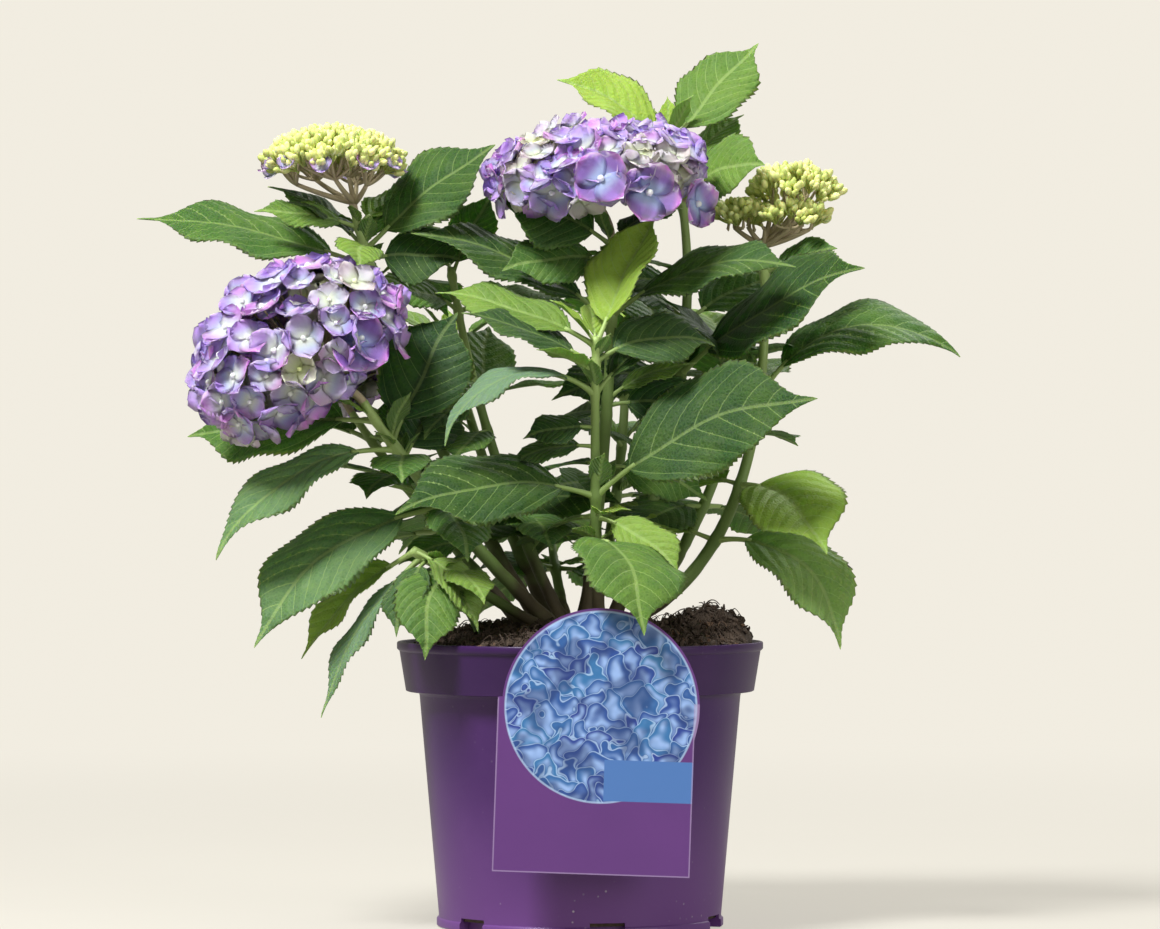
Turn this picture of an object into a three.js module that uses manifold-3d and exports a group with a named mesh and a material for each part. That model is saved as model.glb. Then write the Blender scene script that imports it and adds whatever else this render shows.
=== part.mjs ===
// A potted mophead hydrangea: a purple nursery pot full of soil, a hanging card, thirteen
// stems with leafy shoots, and flower heads that are open, opening or still in bud.
// Millimetres, +Z up, seen from -Y. The origin is under the middle of the pot.
import * as THREE from "three";
import Module from "manifold-3d";
import { mergeVertices } from "three/addons/utils/BufferGeometryUtils.js";

const wasm = await Module();
wasm.setup();
const { Manifold } = wasm;

// Clearance between neighbouring solids
const CLEAR = 0.3;
// Edges shorter than this are closed up
const LEAST_EDGE = 0.05;

// Pot
const POT_HEIGHT = 178;
const RIM_RADIUS = 115;
const RIM_THICKNESS = 3;
const BAND_FOOT_HEIGHT = 147;
const BAND_FOOT_RADIUS = 109.5;
const BODY_TOP_RADIUS = 101;
const BODY_FOOT_RADIUS = 88.5;
const FOOT_RING_RADIUS = 90;
const FOOT_RING_HEIGHT = 5;
const WALL = 2;
const PAD_RADIUS = 40;
const UNDERSIDE_RISE = 3;
const FLOOR_TOP = 5.5;
const NOTCH_WIDTH = 22;
const NOTCH_HEIGHT = 8;
const NOTCH_COUNT = 6;
const FRONT_NOTCH_BEARING = -79;
const DRAIN_RADIUS = 4;
const DRAIN_CIRCLE_RADIUS = 60;

// Soil
const SEAT_RADIUS = 46;
const SEAT_HEIGHT = 188;
const SOIL_EDGE_HEIGHT = 170;
const HEAP_HEIGHT = 18;
const HEAP_AT = [88, -8];
const HEAP_SPREAD = 26;
const LUMP_HEIGHT = 3;
const LUMP_WAVES = 9;

// Card
const CARD_THICKNESS = 0.8;
const CARD_FRONT = -118;
const CARD_LEFT = -50;
const CARD_RIGHT = 70;
const CARD_FOOT = 40;
const CARD_SHOULDER = 146;
const DISC_RADIUS = 60;
const DISC_AT = [12.7, 141.8];
const CARD_LEAN = 2;
const TONGUE_WIDTH = 22;
const TONGUE_AT = 3;
const TONGUE_BACK = -106.4;
const TONGUE_FOOT = 158;

// Leaves
const PETIOLE = 0.18;
const PETIOLE_RADIUS = 1.6;
const LEAF_FOLD = 12;
const LEAF_LEAST_THICKNESS = 1.6;
const BLADE_STATIONS = [0.06, 0.24, 0.46, 0.7, 0.88];
const DEFAULT_SAG = 40;
const DEFAULT_FACE = 0;
const DEFAULT_BREADTH = 0.6;

// Stems
const GROUND = SEAT_HEIGHT + CLEAR;
const STEM_SIDES = 6;
const STEM_FLARE = 1.4;
const BARE_BELOW_FIRST_LEAF = 9;

// Each shoot has a foot on the soil, a knee that its curve leans to, a tip, and its girth at
// both ends. A leaf is its height on the stem, its heading round the stem (0 to the right,
// 90 away), its rise, its length, its sag from root to tip, how far its upper face turns
// to the front, and its breadth for its length. The angles are in degrees.
const SHOOTS = {
  right: {
    foot: [26, -2], knee: [124, 4, 230], tip: [117, 42, 422], girth: [4.6, 2.6],
    leaves: [
      [241, 332, 10, 124, 95, 35, 0.45],
      [276, 302, 4, 110, 55, 15, 0.78],
      [318, 80, 22, 62],
      [330, 358, 58, 148, 96, 24, 0.64],
      [410, 332, 32, 54, 30, 45, 0.75],
      [410, 136, 24, 60, 20, 15, 0.5],
    ],
  },
  tall: {
    foot: [20, 20], knee: [94, 64, 380], tip: [55, 42, 498], girth: [4.4, 2.2],
    leaves: [
      [345, 110, 52, 94, 30],
      [346, 316, 36, 170, 27, 50, 0.55],
      [380, 30, 34, 84, 20, 36],
      [452, 112, 26, 72],
      [455, 318, 48, 76, 60, 62, 0.8],
      [472, 38, 50, 70, 25, 10],
      [492, 178, 48, 80, 30, 44, 0.66],
      [494, 28, 46, 96, 10, 34, 0.72],
    ],
  },
  middle: {
    foot: [2, 8], knee: [22, -4, 330], tip: [20, -4, 430], girth: [4.4, 2.6],
    leaves: [
      [288, 350, 2, 72, 40, 50, 0.66],
      [320, 140, 10, 68, 20, 30, 0.7],
      [330, 352, 40, 62, 36, 30, 0.55],
      [378, 184, 42, 140, 36, 34, 0.45],
      [382, 334, 38, 134, 50, 34, 0.48],
      [416, 206, 12, 78, 34, 50, 0.66],
      [418, 112, 6, 66, 30],
    ],
  },
  front: {
    foot: [12, -26], knee: [8, -48, 285], tip: [10, -56, 368], girth: [3.8, 2.2],
    leaves: [
      [240, 286, 10, 126, 75, -8, 0.68],
      [256, 324, -8, 86, 45, 40, 0.5],
      [269, 342, 40, 156, 30, 64, 0.62],
      [269, 204, 18, 138, 45, 38],
      [332, 198, 36, 106, 116, 12, 0.36],
      [346, 228, 24, 56, 20],
      [350, 186, 34, 90, 25, 22, 0.48],
      [355, 344, 66, 72, 20, 40],
      [362, 162, 32, 112, 28, 34, 0.42],
      [362, 30, 62, 98, 10, 10, 0.8],
    ],
  },
  left: {
    foot: [-18, -8], knee: [-92, -20, 262], tip: [-135, -30, 328], girth: [4.6, 2.8],
    leaves: [
      [262, 200, -14, 160, 50, 34, 0.46],
      [262, 286, 2, 74, 60, 0, 0.65],
      [294, 272, 8, 58, 50, 0, 0.8],
      [298, 200, -3, 142, 54, 26, 0.42],
      [308, 30, 68, 90, 15, 42, 0.82],
      [316, 156, 2, 136, 20, 50, 0.55],
    ],
  },
  upper_left: {
    foot: [-24, 12], knee: [-106, 20, 310], tip: [-142, 10, 448], girth: [4.4, 2.6],
    leaves: [
      [410, 178, 18, 152, 16, 26, 0.56],
      [404, 66, 10, 112],
      [424, 358, 44, 100, 12, 40, 0.62],
      [424, 268, 16, 64, 60, 20],
      [438, 200, 20, 70, 24, 40, 0.5],
      [440, 52, 32, 62, 20, 20],
    ],
  },
  inner_left: {
    foot: [-10, 16], knee: [-62, 24, 290], tip: [-82, 26, 414], girth: [4, 2.2],
    leaves: [
      [256, 290, 8, 74, 50, 0, 0.7],
      [310, 270, 0, 58, 40, 0, 0.7],
      [330, 70, 54, 72, 16, 20, 0.75],
      [330, 232, 0, 62, 50, 10],
      [386, 222, 34, 70, 55, 40, 0.62],
      [386, 22, 40, 76, 30, 20, 0.5],
      [408, 10, 72, 60, 16, 45, 0.75],
      [408, 104, 42, 70, 30, 10],
    ],
  },
  low_left: {
    foot: [-26, -20], knee: [-70, -40, 215], tip: [-104, -48, 236], girth: [3.6, 2.2],
    leaves: [
      [222, 256, 4, 86, 95, 20],
      [222, 294, 12, 62, 60],
      [230, 246, -16, 68, 60, 0, 0.5],
      [232, 194, -40, 120, 34, 18, 0.26],
      [235, 158, -24, 90, 30, 44, 0.55],
    ],
  },
  back_right: {
    foot: [36, 14], knee: [96, 66, 275], tip: [106, 92, 356], girth: [4.2, 2.4],
    leaves: [
      [262, 58, 4, 116],
      [304, 112, 28, 104],
      [304, 50, 18, 76],
      [330, 48, 34, 108],
      [330, 180, 30, 50],
      [352, 70, 46, 92],
      [352, 345, 30, 88],
    ],
  },
  back_middle: {
    foot: [8, 34], knee: [30, 100, 280], tip: [30, 122, 366], girth: [4.2, 2.4],
    leaves: [
      [268, 40, 10, 76],
      [300, 96, 26, 104],
      [332, 22, 30, 96],
      [332, 178, 32, 96],
      [356, 10, 30, 76],
      [362, 96, 56, 90],
      [362, 232, 50, 76],
    ],
  },
  back_left: {
    foot: [-18, 28], knee: [-64, 92, 280], tip: [-84, 112, 368], girth: [4.2, 2.4],
    leaves: [
      [262, 128, 4, 118],
      [306, 168, 24, 96],
      [338, 108, 34, 104],
      [338, 236, 30, 60],
      [364, 150, 40, 92],
      [364, 20, 44, 90],
    ],
  },
  far_left: {
    foot: [-36, 0], knee: [-104, 48, 262], tip: [-146, 62, 322], girth: [4, 2.4],
    leaves: [
      [246, 150, 2, 112],
      [278, 186, 0, 92],
      [278, 80, 12, 100],
      [304, 138, -4, 112],
      [300, 60, 40, 34],
    ],
  },
  low_back: {
    foot: [-8, 40], knee: [-18, 96, 222], tip: [-20, 124, 258], girth: [3.6, 2.2],
    leaves: [
      [222, 50, 0, 96],
      [222, 132, -4, 92],
      [252, 88, 8, 112],
      [252, 170, -8, 64],
    ],
  },
};

// Flower heads. An open head is a flattened ball of florets about its axis.
const MOPHEADS = {
  left: {
    shoot: "left",
    at: [-181, -42, 360], axis: [-0.45, -0.65, 0.6], size: [60, 40], florets: 38,
  },
  middle: {
    shoot: "middle",
    at: [8, -14, 473], axis: [-0.1, -0.15, 1], size: [65, 29], florets: 36,
  },
  back: {
    shoot: "far_left",
    at: [-160, 94, 352], axis: [-0.35, 0.5, 0.8], size: [38, 25], florets: 15,
  },
};
const FLORET_RADIUS = 15;
const FLORET_CUP = 0.22;
// A head in bud is a few flat clusters of buds at the ends of rays.
const BUD_HEADS = {
  upper_left: {
    shoot: "upper_left",
    rays: 5,
    clusters: [{ at: [-156, 8, 478], size: [46, 19], buds: 30 }],
  },
  right: {
    shoot: "right",
    rays: 3,
    clusters: [
      { at: [137, 42, 460], size: [28, 16], buds: 14 },
      { at: [101, 42, 449], size: [15, 8], buds: 5 },
    ],
  },
};
const BUD_RADIUS = 6.5;
const RAY_RADIUS = 1.5;

const GOLDEN_TURN = Math.PI * (3 - Math.sqrt(5));
const UP = new THREE.Vector3(0, 0, 1);
const vector = (place) => new THREE.Vector3(...place);

// A repeatable stream of numbers from 0 to 1.
function stream(seed) {
  let state = seed;
  return () => {
    state = (state * 1664525 + 1013904223) % 4294967296;
    return state / 4294967296;
  };
}

// A closed solid from its points and its triangles.
function solidOf(points, faces) {
  return new Manifold(
    new wasm.Mesh({
      numProp: 3,
      vertProperties: new Float32Array(points.flatMap((point) => point.toArray())),
      triVerts: new Uint32Array(faces.flat()),
    }),
  );
}

// Rings of points joined in order, with the first and the last ring closed flat.
function loft(rings) {
  const sides = rings[0].length;
  const faces = [];
  for (let ring = 0; ring + 1 < rings.length; ring++) {
    for (let side = 0; side < sides; side++) {
      const a = ring * sides + side;
      const b = ring * sides + ((side + 1) % sides);
      faces.push([a, b, b + sides], [a, b + sides, a + sides]);
    }
  }
  const last = (rings.length - 1) * sides;
  for (let side = 1; side + 1 < sides; side++) {
    faces.push([0, side + 1, side], [last, last + side, last + side + 1]);
  }
  return solidOf(rings.flat(), faces);
}

// Points round a place, square to a direction.
function ringAround(place, along, radius, sides) {
  const flank = new THREE.Vector3(0, -1, 0).cross(along).normalize();
  const front = along.clone().cross(flank);
  return Array.from({ length: sides }, (_, side) => {
    const turn = (2 * Math.PI * side) / sides;
    return place
      .clone()
      .addScaledVector(flank, radius * Math.cos(turn))
      .addScaledVector(front, radius * Math.sin(turn));
  });
}

// Rings square to a curve from one share of it to another, with a radius worked out from
// the share.
function limbRings(curve, from, to, count, radiusAt, sides) {
  return Array.from({ length: count + 1 }, (_, i) => {
    const share = from + ((to - from) * i) / count;
    return ringAround(curve.getPoint(share), curve.getTangent(share), radiusAt(share), sides);
  });
}

const limb = (...shape) => loft(limbRings(...shape));

// A profile of [radius, height] turned about the Z axis, from the axis and back to it.
// lift gives the height of a point from its place.
function turned(profile, segments, lift = (x, y, z) => z) {
  const points = [new THREE.Vector3(0, 0, profile[0][1])];
  const faces = [];
  const rings = profile.slice(1, -1);
  rings.forEach(([radius, height], ring) => {
    for (let segment = 0; segment < segments; segment++) {
      const turn = (2 * Math.PI * segment) / segments;
      const x = radius * Math.cos(turn);
      const y = radius * Math.sin(turn);
      const here = 1 + ring * segments + segment;
      const next = 1 + ring * segments + ((segment + 1) % segments);
      points.push(new THREE.Vector3(x, y, lift(x, y, height)));
      if (ring === 0) faces.push([0, next, here]);
      else faces.push([here - segments, next, here], [here - segments, next - segments, next]);
    }
  });
  const crown = points.length;
  const last = crown - segments;
  points.push(new THREE.Vector3(0, 0, profile.at(-1)[1]));
  for (let segment = 0; segment < segments; segment++) {
    faces.push([crown, last + segment, last + ((segment + 1) % segments)]);
  }
  return solidOf(points, faces);
}

// A box from its low corner to its high one.
function box(low, high) {
  const size = vector(high).sub(vector(low)).toArray();
  return Manifold.cube(size).translate(low);
}

// The mesh of a solid, in its finish.
function meshOf(name, solid, finish) {
  const { vertProperties, triVerts } = solid.simplify(LEAST_EDGE).getMesh();
  const geometry = new THREE.BufferGeometry();
  geometry.setAttribute("position", new THREE.BufferAttribute(vertProperties, 3));
  geometry.setIndex(new THREE.BufferAttribute(triVerts, 1));
  const merged = mergeVertices(geometry);
  merged.computeVertexNormals();
  const mesh = new THREE.Mesh(merged, finish);
  mesh.name = name;
  return mesh;
}

// Pot: a tapered body under a wide band, a floor with a raised ring, drain holes, and
// notches in the foot.
function potSolid() {
  const rimInside = RIM_RADIUS - RIM_THICKNESS;
  const shell = turned(
    [
      [0, 0],
      [PAD_RADIUS, 0],
      [PAD_RADIUS + UNDERSIDE_RISE, UNDERSIDE_RISE],
      [FOOT_RING_RADIUS - 12, UNDERSIDE_RISE],
      [FOOT_RING_RADIUS - 9, 0],
      [FOOT_RING_RADIUS, 0],
      [FOOT_RING_RADIUS, FOOT_RING_HEIGHT],
      [BODY_FOOT_RADIUS, FOOT_RING_HEIGHT + 1],
      [BODY_TOP_RADIUS, BAND_FOOT_HEIGHT],
      [BAND_FOOT_RADIUS, BAND_FOOT_HEIGHT],
      [RIM_RADIUS - 1.2, POT_HEIGHT - 5],
      [RIM_RADIUS, POT_HEIGHT - 4],
      [RIM_RADIUS, POT_HEIGHT],
      [rimInside, POT_HEIGHT],
      [BAND_FOOT_RADIUS - WALL, BAND_FOOT_HEIGHT + WALL],
      [BODY_TOP_RADIUS - WALL, BAND_FOOT_HEIGHT + WALL],
      [BODY_FOOT_RADIUS - WALL, FLOOR_TOP],
      [0, FLOOR_TOP],
    ],
    36,
  );
  const cuts = [];
  for (let i = 0; i < NOTCH_COUNT; i++) {
    const bearing = FRONT_NOTCH_BEARING + (360 / NOTCH_COUNT) * i;
    const notch = box(
      [BODY_FOOT_RADIUS - 7, -NOTCH_WIDTH / 2, -1],
      [FOOT_RING_RADIUS + 5, NOTCH_WIDTH / 2, NOTCH_HEIGHT],
    );
    const drain = Manifold.cylinder(FLOOR_TOP + 2, DRAIN_RADIUS, DRAIN_RADIUS, 8).translate([
      DRAIN_CIRCLE_RADIUS, 0, -1,
    ]);
    cuts.push(notch.rotate([0, 0, bearing]), drain.rotate([0, 0, bearing]));
  }
  return shell.subtract(Manifold.union(cuts));
}

// Card: a round head over a square foot, and a tongue over the rim and down into the soil.
function cardSolid() {
  const back = CARD_FRONT + CARD_THICKNESS;
  const disc = Manifold.cylinder(CARD_THICKNESS, DISC_RADIUS, DISC_RADIUS, 48)
    .rotate([90, 0, 0])
    .translate([DISC_AT[0], back, DISC_AT[1]]);
  const sheet = box([CARD_LEFT, CARD_FRONT, CARD_FOOT], [CARD_RIGHT, back, CARD_SHOULDER]);
  const face = disc
    .add(sheet)
    .translate([-DISC_AT[0], 0, -DISC_AT[1]])
    .rotate([0, CARD_LEAN, 0])
    .translate([DISC_AT[0], 0, DISC_AT[1]]);
  const left = TONGUE_AT - TONGUE_WIDTH / 2;
  const right = TONGUE_AT + TONGUE_WIDTH / 2;
  const bridgeFoot = POT_HEIGHT + CLEAR;
  const bridgeTop = bridgeFoot + CARD_THICKNESS;
  const bridge = box([left, CARD_FRONT, bridgeFoot], [right, TONGUE_BACK, bridgeTop]);
  const tongueFront = TONGUE_BACK - CARD_THICKNESS;
  const tongue = box([left, tongueFront, TONGUE_FOOT], [right, TONGUE_BACK, bridgeTop]);
  return Manifold.union([face, bridge, tongue]);
}

// Soil: fills the pot, with a level seat for the stems, a heap on the right, and lumps.
function soilSolid() {
  const pick = stream(7);
  const lumps = Array.from({ length: LUMP_WAVES }, () => {
    const wave = 0.02 + 0.06 * pick();
    return [wave, 2 * Math.PI * pick(), 2 * Math.PI * pick()];
  });
  const lift = (x, y, z) => {
    const radius = Math.hypot(x, y);
    if (z < SOIL_EDGE_HEIGHT || radius < SEAT_RADIUS + 1) return z;
    const heap = Math.exp(-((x - HEAP_AT[0]) ** 2 + (y - HEAP_AT[1]) ** 2) / HEAP_SPREAD ** 2);
    const bumps = lumps.reduce((sum, [wave, turn, start]) => {
      const along = x * Math.cos(turn) + y * Math.sin(turn);
      return sum + Math.sin(2 * Math.PI * wave * along + start);
    }, 0);
    return z + HEAP_HEIGHT * heap + (LUMP_HEIGHT * bumps) / 3;
  };
  const bodyRadius = BODY_TOP_RADIUS - WALL - 2 * CLEAR;
  const ledge = BAND_FOOT_HEIGHT + WALL;
  const bandRadius = BAND_FOOT_RADIUS - WALL - 3 * CLEAR;
  const edgeRadius = bandRadius + 1.6;
  const step = (edgeRadius - SEAT_RADIUS) / 5;
  const slope = Array.from({ length: 4 }, (_, i) => {
    const climb = ((i + 1) / 5) ** 0.6;
    return [edgeRadius - step * (i + 1), SOIL_EDGE_HEIGHT + (SEAT_HEIGHT - SOIL_EDGE_HEIGHT) * climb];
  });
  const heap = turned(
    [
      [0, FLOOR_TOP + CLEAR],
      [BODY_FOOT_RADIUS - WALL - 2 * CLEAR, FLOOR_TOP + CLEAR],
      [bodyRadius - CLEAR, ledge - CLEAR],
      [bodyRadius - CLEAR, ledge + CLEAR],
      [bandRadius, ledge + CLEAR],
      [edgeRadius, SOIL_EDGE_HEIGHT],
      ...slope,
      [SEAT_RADIUS, SEAT_HEIGHT],
      [0, SEAT_HEIGHT],
    ],
    30,
    lift,
  );
  const slot = box(
    [TONGUE_AT - TONGUE_WIDTH / 2 - CLEAR, TONGUE_BACK - CARD_THICKNESS - 8, TONGUE_FOOT - CLEAR],
    [TONGUE_AT + TONGUE_WIDTH / 2 + CLEAR, TONGUE_BACK + CLEAR, POT_HEIGHT + 20],
  );
  return heap.subtract(slot);
}

// The middle line of a stem: places along its curve from one share of it to another.
function stemCurve({ foot, knee, tip }) {
  return new THREE.QuadraticBezierCurve3(vector([...foot, GROUND]), vector(knee), vector(tip));
}

// The share of a stem's curve at which it reaches a height.
function shareAt(curve, height) {
  let low = 0;
  let high = 1;
  for (let i = 0; i < 30; i++) {
    const middle = (low + high) / 2;
    if (curve.getPoint(middle).z < height) low = middle;
    else high = middle;
  }
  return low;
}

// The bare lower stem: a flat cut on the soil, a flare, then a taper to the first leaf.
function stemSolid(shoot, to) {
  const [stout, slim] = shoot.girth;
  const radiusAt = (share) => stout + (slim - stout) * share + STEM_FLARE * Math.exp(-share * 30);
  const curve = stemCurve(shoot);
  const foot = ringAround(curve.getPoint(0), UP, radiusAt(0), STEM_SIDES);
  return loft([foot, ...limbRings(curve, to / 5, to, 4, radiusAt, STEM_SIDES)]);
}

// The place and the directions at a share of a leaf's length. Its midrib is an arc that
// climbs at its rise and sags evenly.
function leafLine(root, [, heading, rise, length, sag = DEFAULT_SAG, face = DEFAULT_FACE]) {
  const turn = THREE.MathUtils.degToRad(heading);
  const climb = THREE.MathUtils.degToRad(rise);
  const bend = THREE.MathUtils.degToRad(sag);
  const level = new THREE.Vector3(Math.cos(turn), Math.sin(turn), 0);
  const roll = THREE.MathUtils.degToRad(face) * (level.x < 0 ? -1 : 1);
  return (share) => {
    const angle = climb - bend * share;
    const along = level.clone().multiplyScalar(Math.cos(angle)).addScaledVector(UP, Math.sin(angle));
    const above = level.clone().multiplyScalar(-Math.sin(angle)).addScaledVector(UP, Math.cos(angle));
    const flank = along.clone().cross(above);
    above.applyAxisAngle(along, roll);
    flank.applyAxisAngle(along, roll);
    const place = root
      .clone()
      .addScaledVector(level, (length * (Math.sin(climb) - Math.sin(angle))) / bend)
      .addScaledVector(UP, (length * (Math.cos(angle) - Math.cos(climb))) / bend);
    return { place, above, flank };
  };
}

// Half the width of a blade at a share of its own length, as a part of its widest.
function bladeShape(share) {
  const widest = 0.8 / (0.8 + 1.1);
  const peak = widest ** 0.8 * (1 - widest) ** 1.1;
  return (share ** 0.8 * (1 - share) ** 1.1) / peak;
}

// A leaf: a stalk that widens into a blade, folded along its midrib, with sharp margins.
function leafSolid(root, leaf) {
  const [, , , length, , , breadth = DEFAULT_BREADTH] = leaf;
  const line = leafLine(root, leaf);
  const halfWidth = (breadth * length * (1 - PETIOLE)) / 2;
  const halfThickness = Math.max(LEAF_LEAST_THICKNESS, length / 90) / 2;
  const fold = THREE.MathUtils.degToRad(LEAF_FOLD);
  const ring = (share, half, thick, bend) => {
    const { place, above, flank } = line(share);
    const edge = (side) =>
      place
        .clone()
        .addScaledVector(flank, side * half * Math.cos(bend))
        .addScaledVector(above, half * Math.sin(bend));
    const middle = (side) => place.clone().addScaledVector(above, side * thick);
    return [edge(1), middle(-1), edge(-1), middle(1)];
  };
  const rings = [
    ring(0, PETIOLE_RADIUS, PETIOLE_RADIUS, 0),
    ring(0.95 * PETIOLE, 0.8 * PETIOLE_RADIUS, 0.8 * PETIOLE_RADIUS, 0),
    ...BLADE_STATIONS.map((share) =>
      ring(PETIOLE + (1 - PETIOLE) * share, halfWidth * bladeShape(share), halfThickness, fold),
    ),
    ring(1, 0.3, 0.3, 0),
  ];
  return loft(rings);
}

// The leafy upper part of a shoot, with each leaf's root sunk in the stem.
function leavesSolid(shoot, from) {
  const curve = stemCurve(shoot);
  const [stout, slim] = shoot.girth;
  const axis = limb(curve, from, 1, 4, (share) => stout + (slim - stout) * share, STEM_SIDES);
  const leaves = shoot.leaves.map((leaf) => {
    const root = curve.getPoint(shareAt(curve, leaf[0]));
    return leafSolid(root, leaf);
  });
  return Manifold.union([axis, ...leaves]);
}

// Two directions square to an axis and to each other.
function squareTo(axis) {
  const flank = new THREE.Vector3(0, 1, 0.1).cross(axis).normalize();
  return [flank, axis.clone().cross(flank)];
}

// A flattened ball about an axis.
function flatBall(centre, axis, [radius, half], columns, rows) {
  const [flank, front] = squareTo(axis);
  const rings = [];
  for (let row = 0; row <= rows; row++) {
    const climb = THREE.MathUtils.degToRad(-78 + (156 * row) / rows);
    const lift = Math.sin(climb);
    const reach = Math.cos(climb) * radius;
    const ring = [];
    for (let column = 0; column < columns; column++) {
      const turn = (2 * Math.PI * column) / columns;
      ring.push(
        centre
          .clone()
          .addScaledVector(axis, half * lift)
          .addScaledVector(flank, reach * Math.cos(turn))
          .addScaledVector(front, reach * Math.sin(turn)),
      );
    }
    rings.push(ring);
  }
  return loft(rings);
}

// Even places on a flattened ball from its top down to a share of its height.
function placesOnBall(centre, axis, [radius, half], count, lowest) {
  const [flank, front] = squareTo(axis);
  return Array.from({ length: count }, (_, i) => {
    const lift = 1 - ((1 - lowest) * (i + 0.5)) / count;
    const reach = Math.sqrt(1 - lift * lift);
    const turn = GOLDEN_TURN * i;
    const spoke = flank
      .clone()
      .multiplyScalar(Math.cos(turn))
      .addScaledVector(front, Math.sin(turn));
    const place = centre
      .clone()
      .addScaledVector(axis, half * lift)
      .addScaledVector(spoke, radius * reach);
    const normal = axis
      .clone()
      .multiplyScalar(lift / half)
      .addScaledVector(spoke, reach / radius)
      .normalize();
    return { place, normal };
  });
}

// A floret: four broad petals round a low middle, cupped, with a root in the ball.
function floretSolid(place, normal, radius, turn) {
  const [flank, front] = squareTo(normal);
  const points = [place.clone().addScaledVector(normal, 0.05 * radius)];
  for (let i = 0; i < 8; i++) {
    const bearing = turn + (Math.PI * i) / 4;
    const reach = i % 2 ? 0.62 * radius : radius;
    points.push(
      place
        .clone()
        .addScaledVector(flank, reach * Math.cos(bearing))
        .addScaledVector(front, reach * Math.sin(bearing))
        .addScaledVector(normal, FLORET_CUP * radius * (i % 2 ? 0.5 : 1)),
    );
  }
  points.push(place.clone().addScaledVector(normal, -0.45 * radius));
  const faces = [];
  for (let i = 0; i < 8; i++) {
    const here = 1 + i;
    const next = 1 + ((i + 1) % 8);
    faces.push([0, here, next], [9, next, here]);
  }
  return solidOf(points, faces);
}

// A short stalk from just clear of a shoot's tip to a place in the flower head.
function headStalk(shoot, end, radius) {
  const curve = stemCurve(shoot);
  const along = curve.getTangent(1);
  const start = curve.getPoint(1).addScaledVector(along, CLEAR);
  const bend = start.clone().addScaledVector(along, 12);
  const path = new THREE.QuadraticBezierCurve3(start, bend, end);
  return limb(path, 0, 1, 3, () => radius, STEM_SIDES);
}

// An open head: a solid ball with florets standing out of it, on its stalk.
function mopheadSolid({ shoot, at, axis, size, florets }, seed) {
  const pick = stream(seed);
  const centre = vector(at);
  const pole = vector(axis).normalize();
  const petals = placesOnBall(centre, pole, size, florets, -0.55).map(({ place, normal }) =>
    floretSolid(place, normal, FLORET_RADIUS * (0.85 + 0.3 * pick()), Math.PI * pick()),
  );
  const core = flatBall(centre, pole, size, 10, 5);
  const stalk = headStalk(SHOOTS[shoot], centre, SHOOTS[shoot].girth[1]);
  return Manifold.union([core, stalk, ...petals]);
}

// A bud: an eight-sided grain, a little sunk in its cluster.
function budSolid(place, normal) {
  const centre = place.clone().addScaledVector(normal, -0.1 * BUD_RADIUS);
  return Manifold.sphere(BUD_RADIUS, 4).translate(centre.toArray());
}

// A head in bud: rays from a knot at the end of the stalk to flat clusters of buds.
function budHeadSolid({ shoot, rays, clusters }) {
  const fork = stemCurve(SHOOTS[shoot]).getPoint(1).addScaledVector(UP, 9);
  const girth = SHOOTS[shoot].girth[1];
  const knot = Manifold.sphere(1.4 * girth, 8).translate(fork.toArray());
  const parts = [headStalk(SHOOTS[shoot], fork, girth), knot];
  for (const { at, size, buds } of clusters) {
    const centre = vector(at);
    parts.push(flatBall(centre, UP, size, 10, 4));
    for (const { place, normal } of placesOnBall(centre, UP, size, buds, -0.1)) {
      parts.push(budSolid(place, normal));
    }
    for (let ray = 0; ray < rays; ray++) {
      const turn = (2 * Math.PI * ray) / rays;
      const spoke = new THREE.Vector3(Math.cos(turn), Math.sin(turn), 0);
      const end = centre.clone().addScaledVector(spoke, 0.55 * size[0]);
      parts.push(limb(new THREE.LineCurve3(fork, end), 0, 1, 1, () => RAY_RADIUS, 4));
    }
  }
  return Manifold.union(parts);
}

// Finishes
const finish = (color, roughness) => new THREE.MeshStandardMaterial({ color, roughness, metalness: 0 });
const POT_PURPLE = finish(0x4a1f5e, 0.4);
const SOIL_BROWN = finish(0x2e211b, 0.95);
const CARD_PURPLE = finish(0x5a2a78, 0.5);
const STEM_BROWN = finish(0x6b5a35, 0.8);
const LEAF_GREEN = finish(0x3f6b2a, 0.55);
const PETAL_LILAC = finish(0x9a86cc, 0.7);
const BUD_GREEN = finish(0xb5bf5a, 0.7);

const plant = new THREE.Group();
plant.add(meshOf("pot", potSolid(), POT_PURPLE));
plant.add(meshOf("soil", soilSolid(), SOIL_BROWN));
plant.add(meshOf("card", cardSolid(), CARD_PURPLE));
for (const [name, shoot] of Object.entries(SHOOTS)) {
  const curve = stemCurve(shoot);
  const split = shareAt(curve, shoot.leaves[0][0] - BARE_BELOW_FIRST_LEAF);
  const gap = CLEAR / curve.getLength();
  plant.add(meshOf(`stem_${name}`, stemSolid(shoot, split), STEM_BROWN));
  plant.add(meshOf(`leaves_${name}`, leavesSolid(shoot, split + gap), LEAF_GREEN));
}
Object.entries(MOPHEADS).forEach(([name, head], i) => {
  plant.add(meshOf(`flowers_${name}`, mopheadSolid(head, 20 + i), PETAL_LILAC));
});
for (const [name, head] of Object.entries(BUD_HEADS)) {
  plant.add(meshOf(`buds_${name}`, budHeadSolid(head), BUD_GREEN));
}

export default plant;
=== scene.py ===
import math

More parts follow.
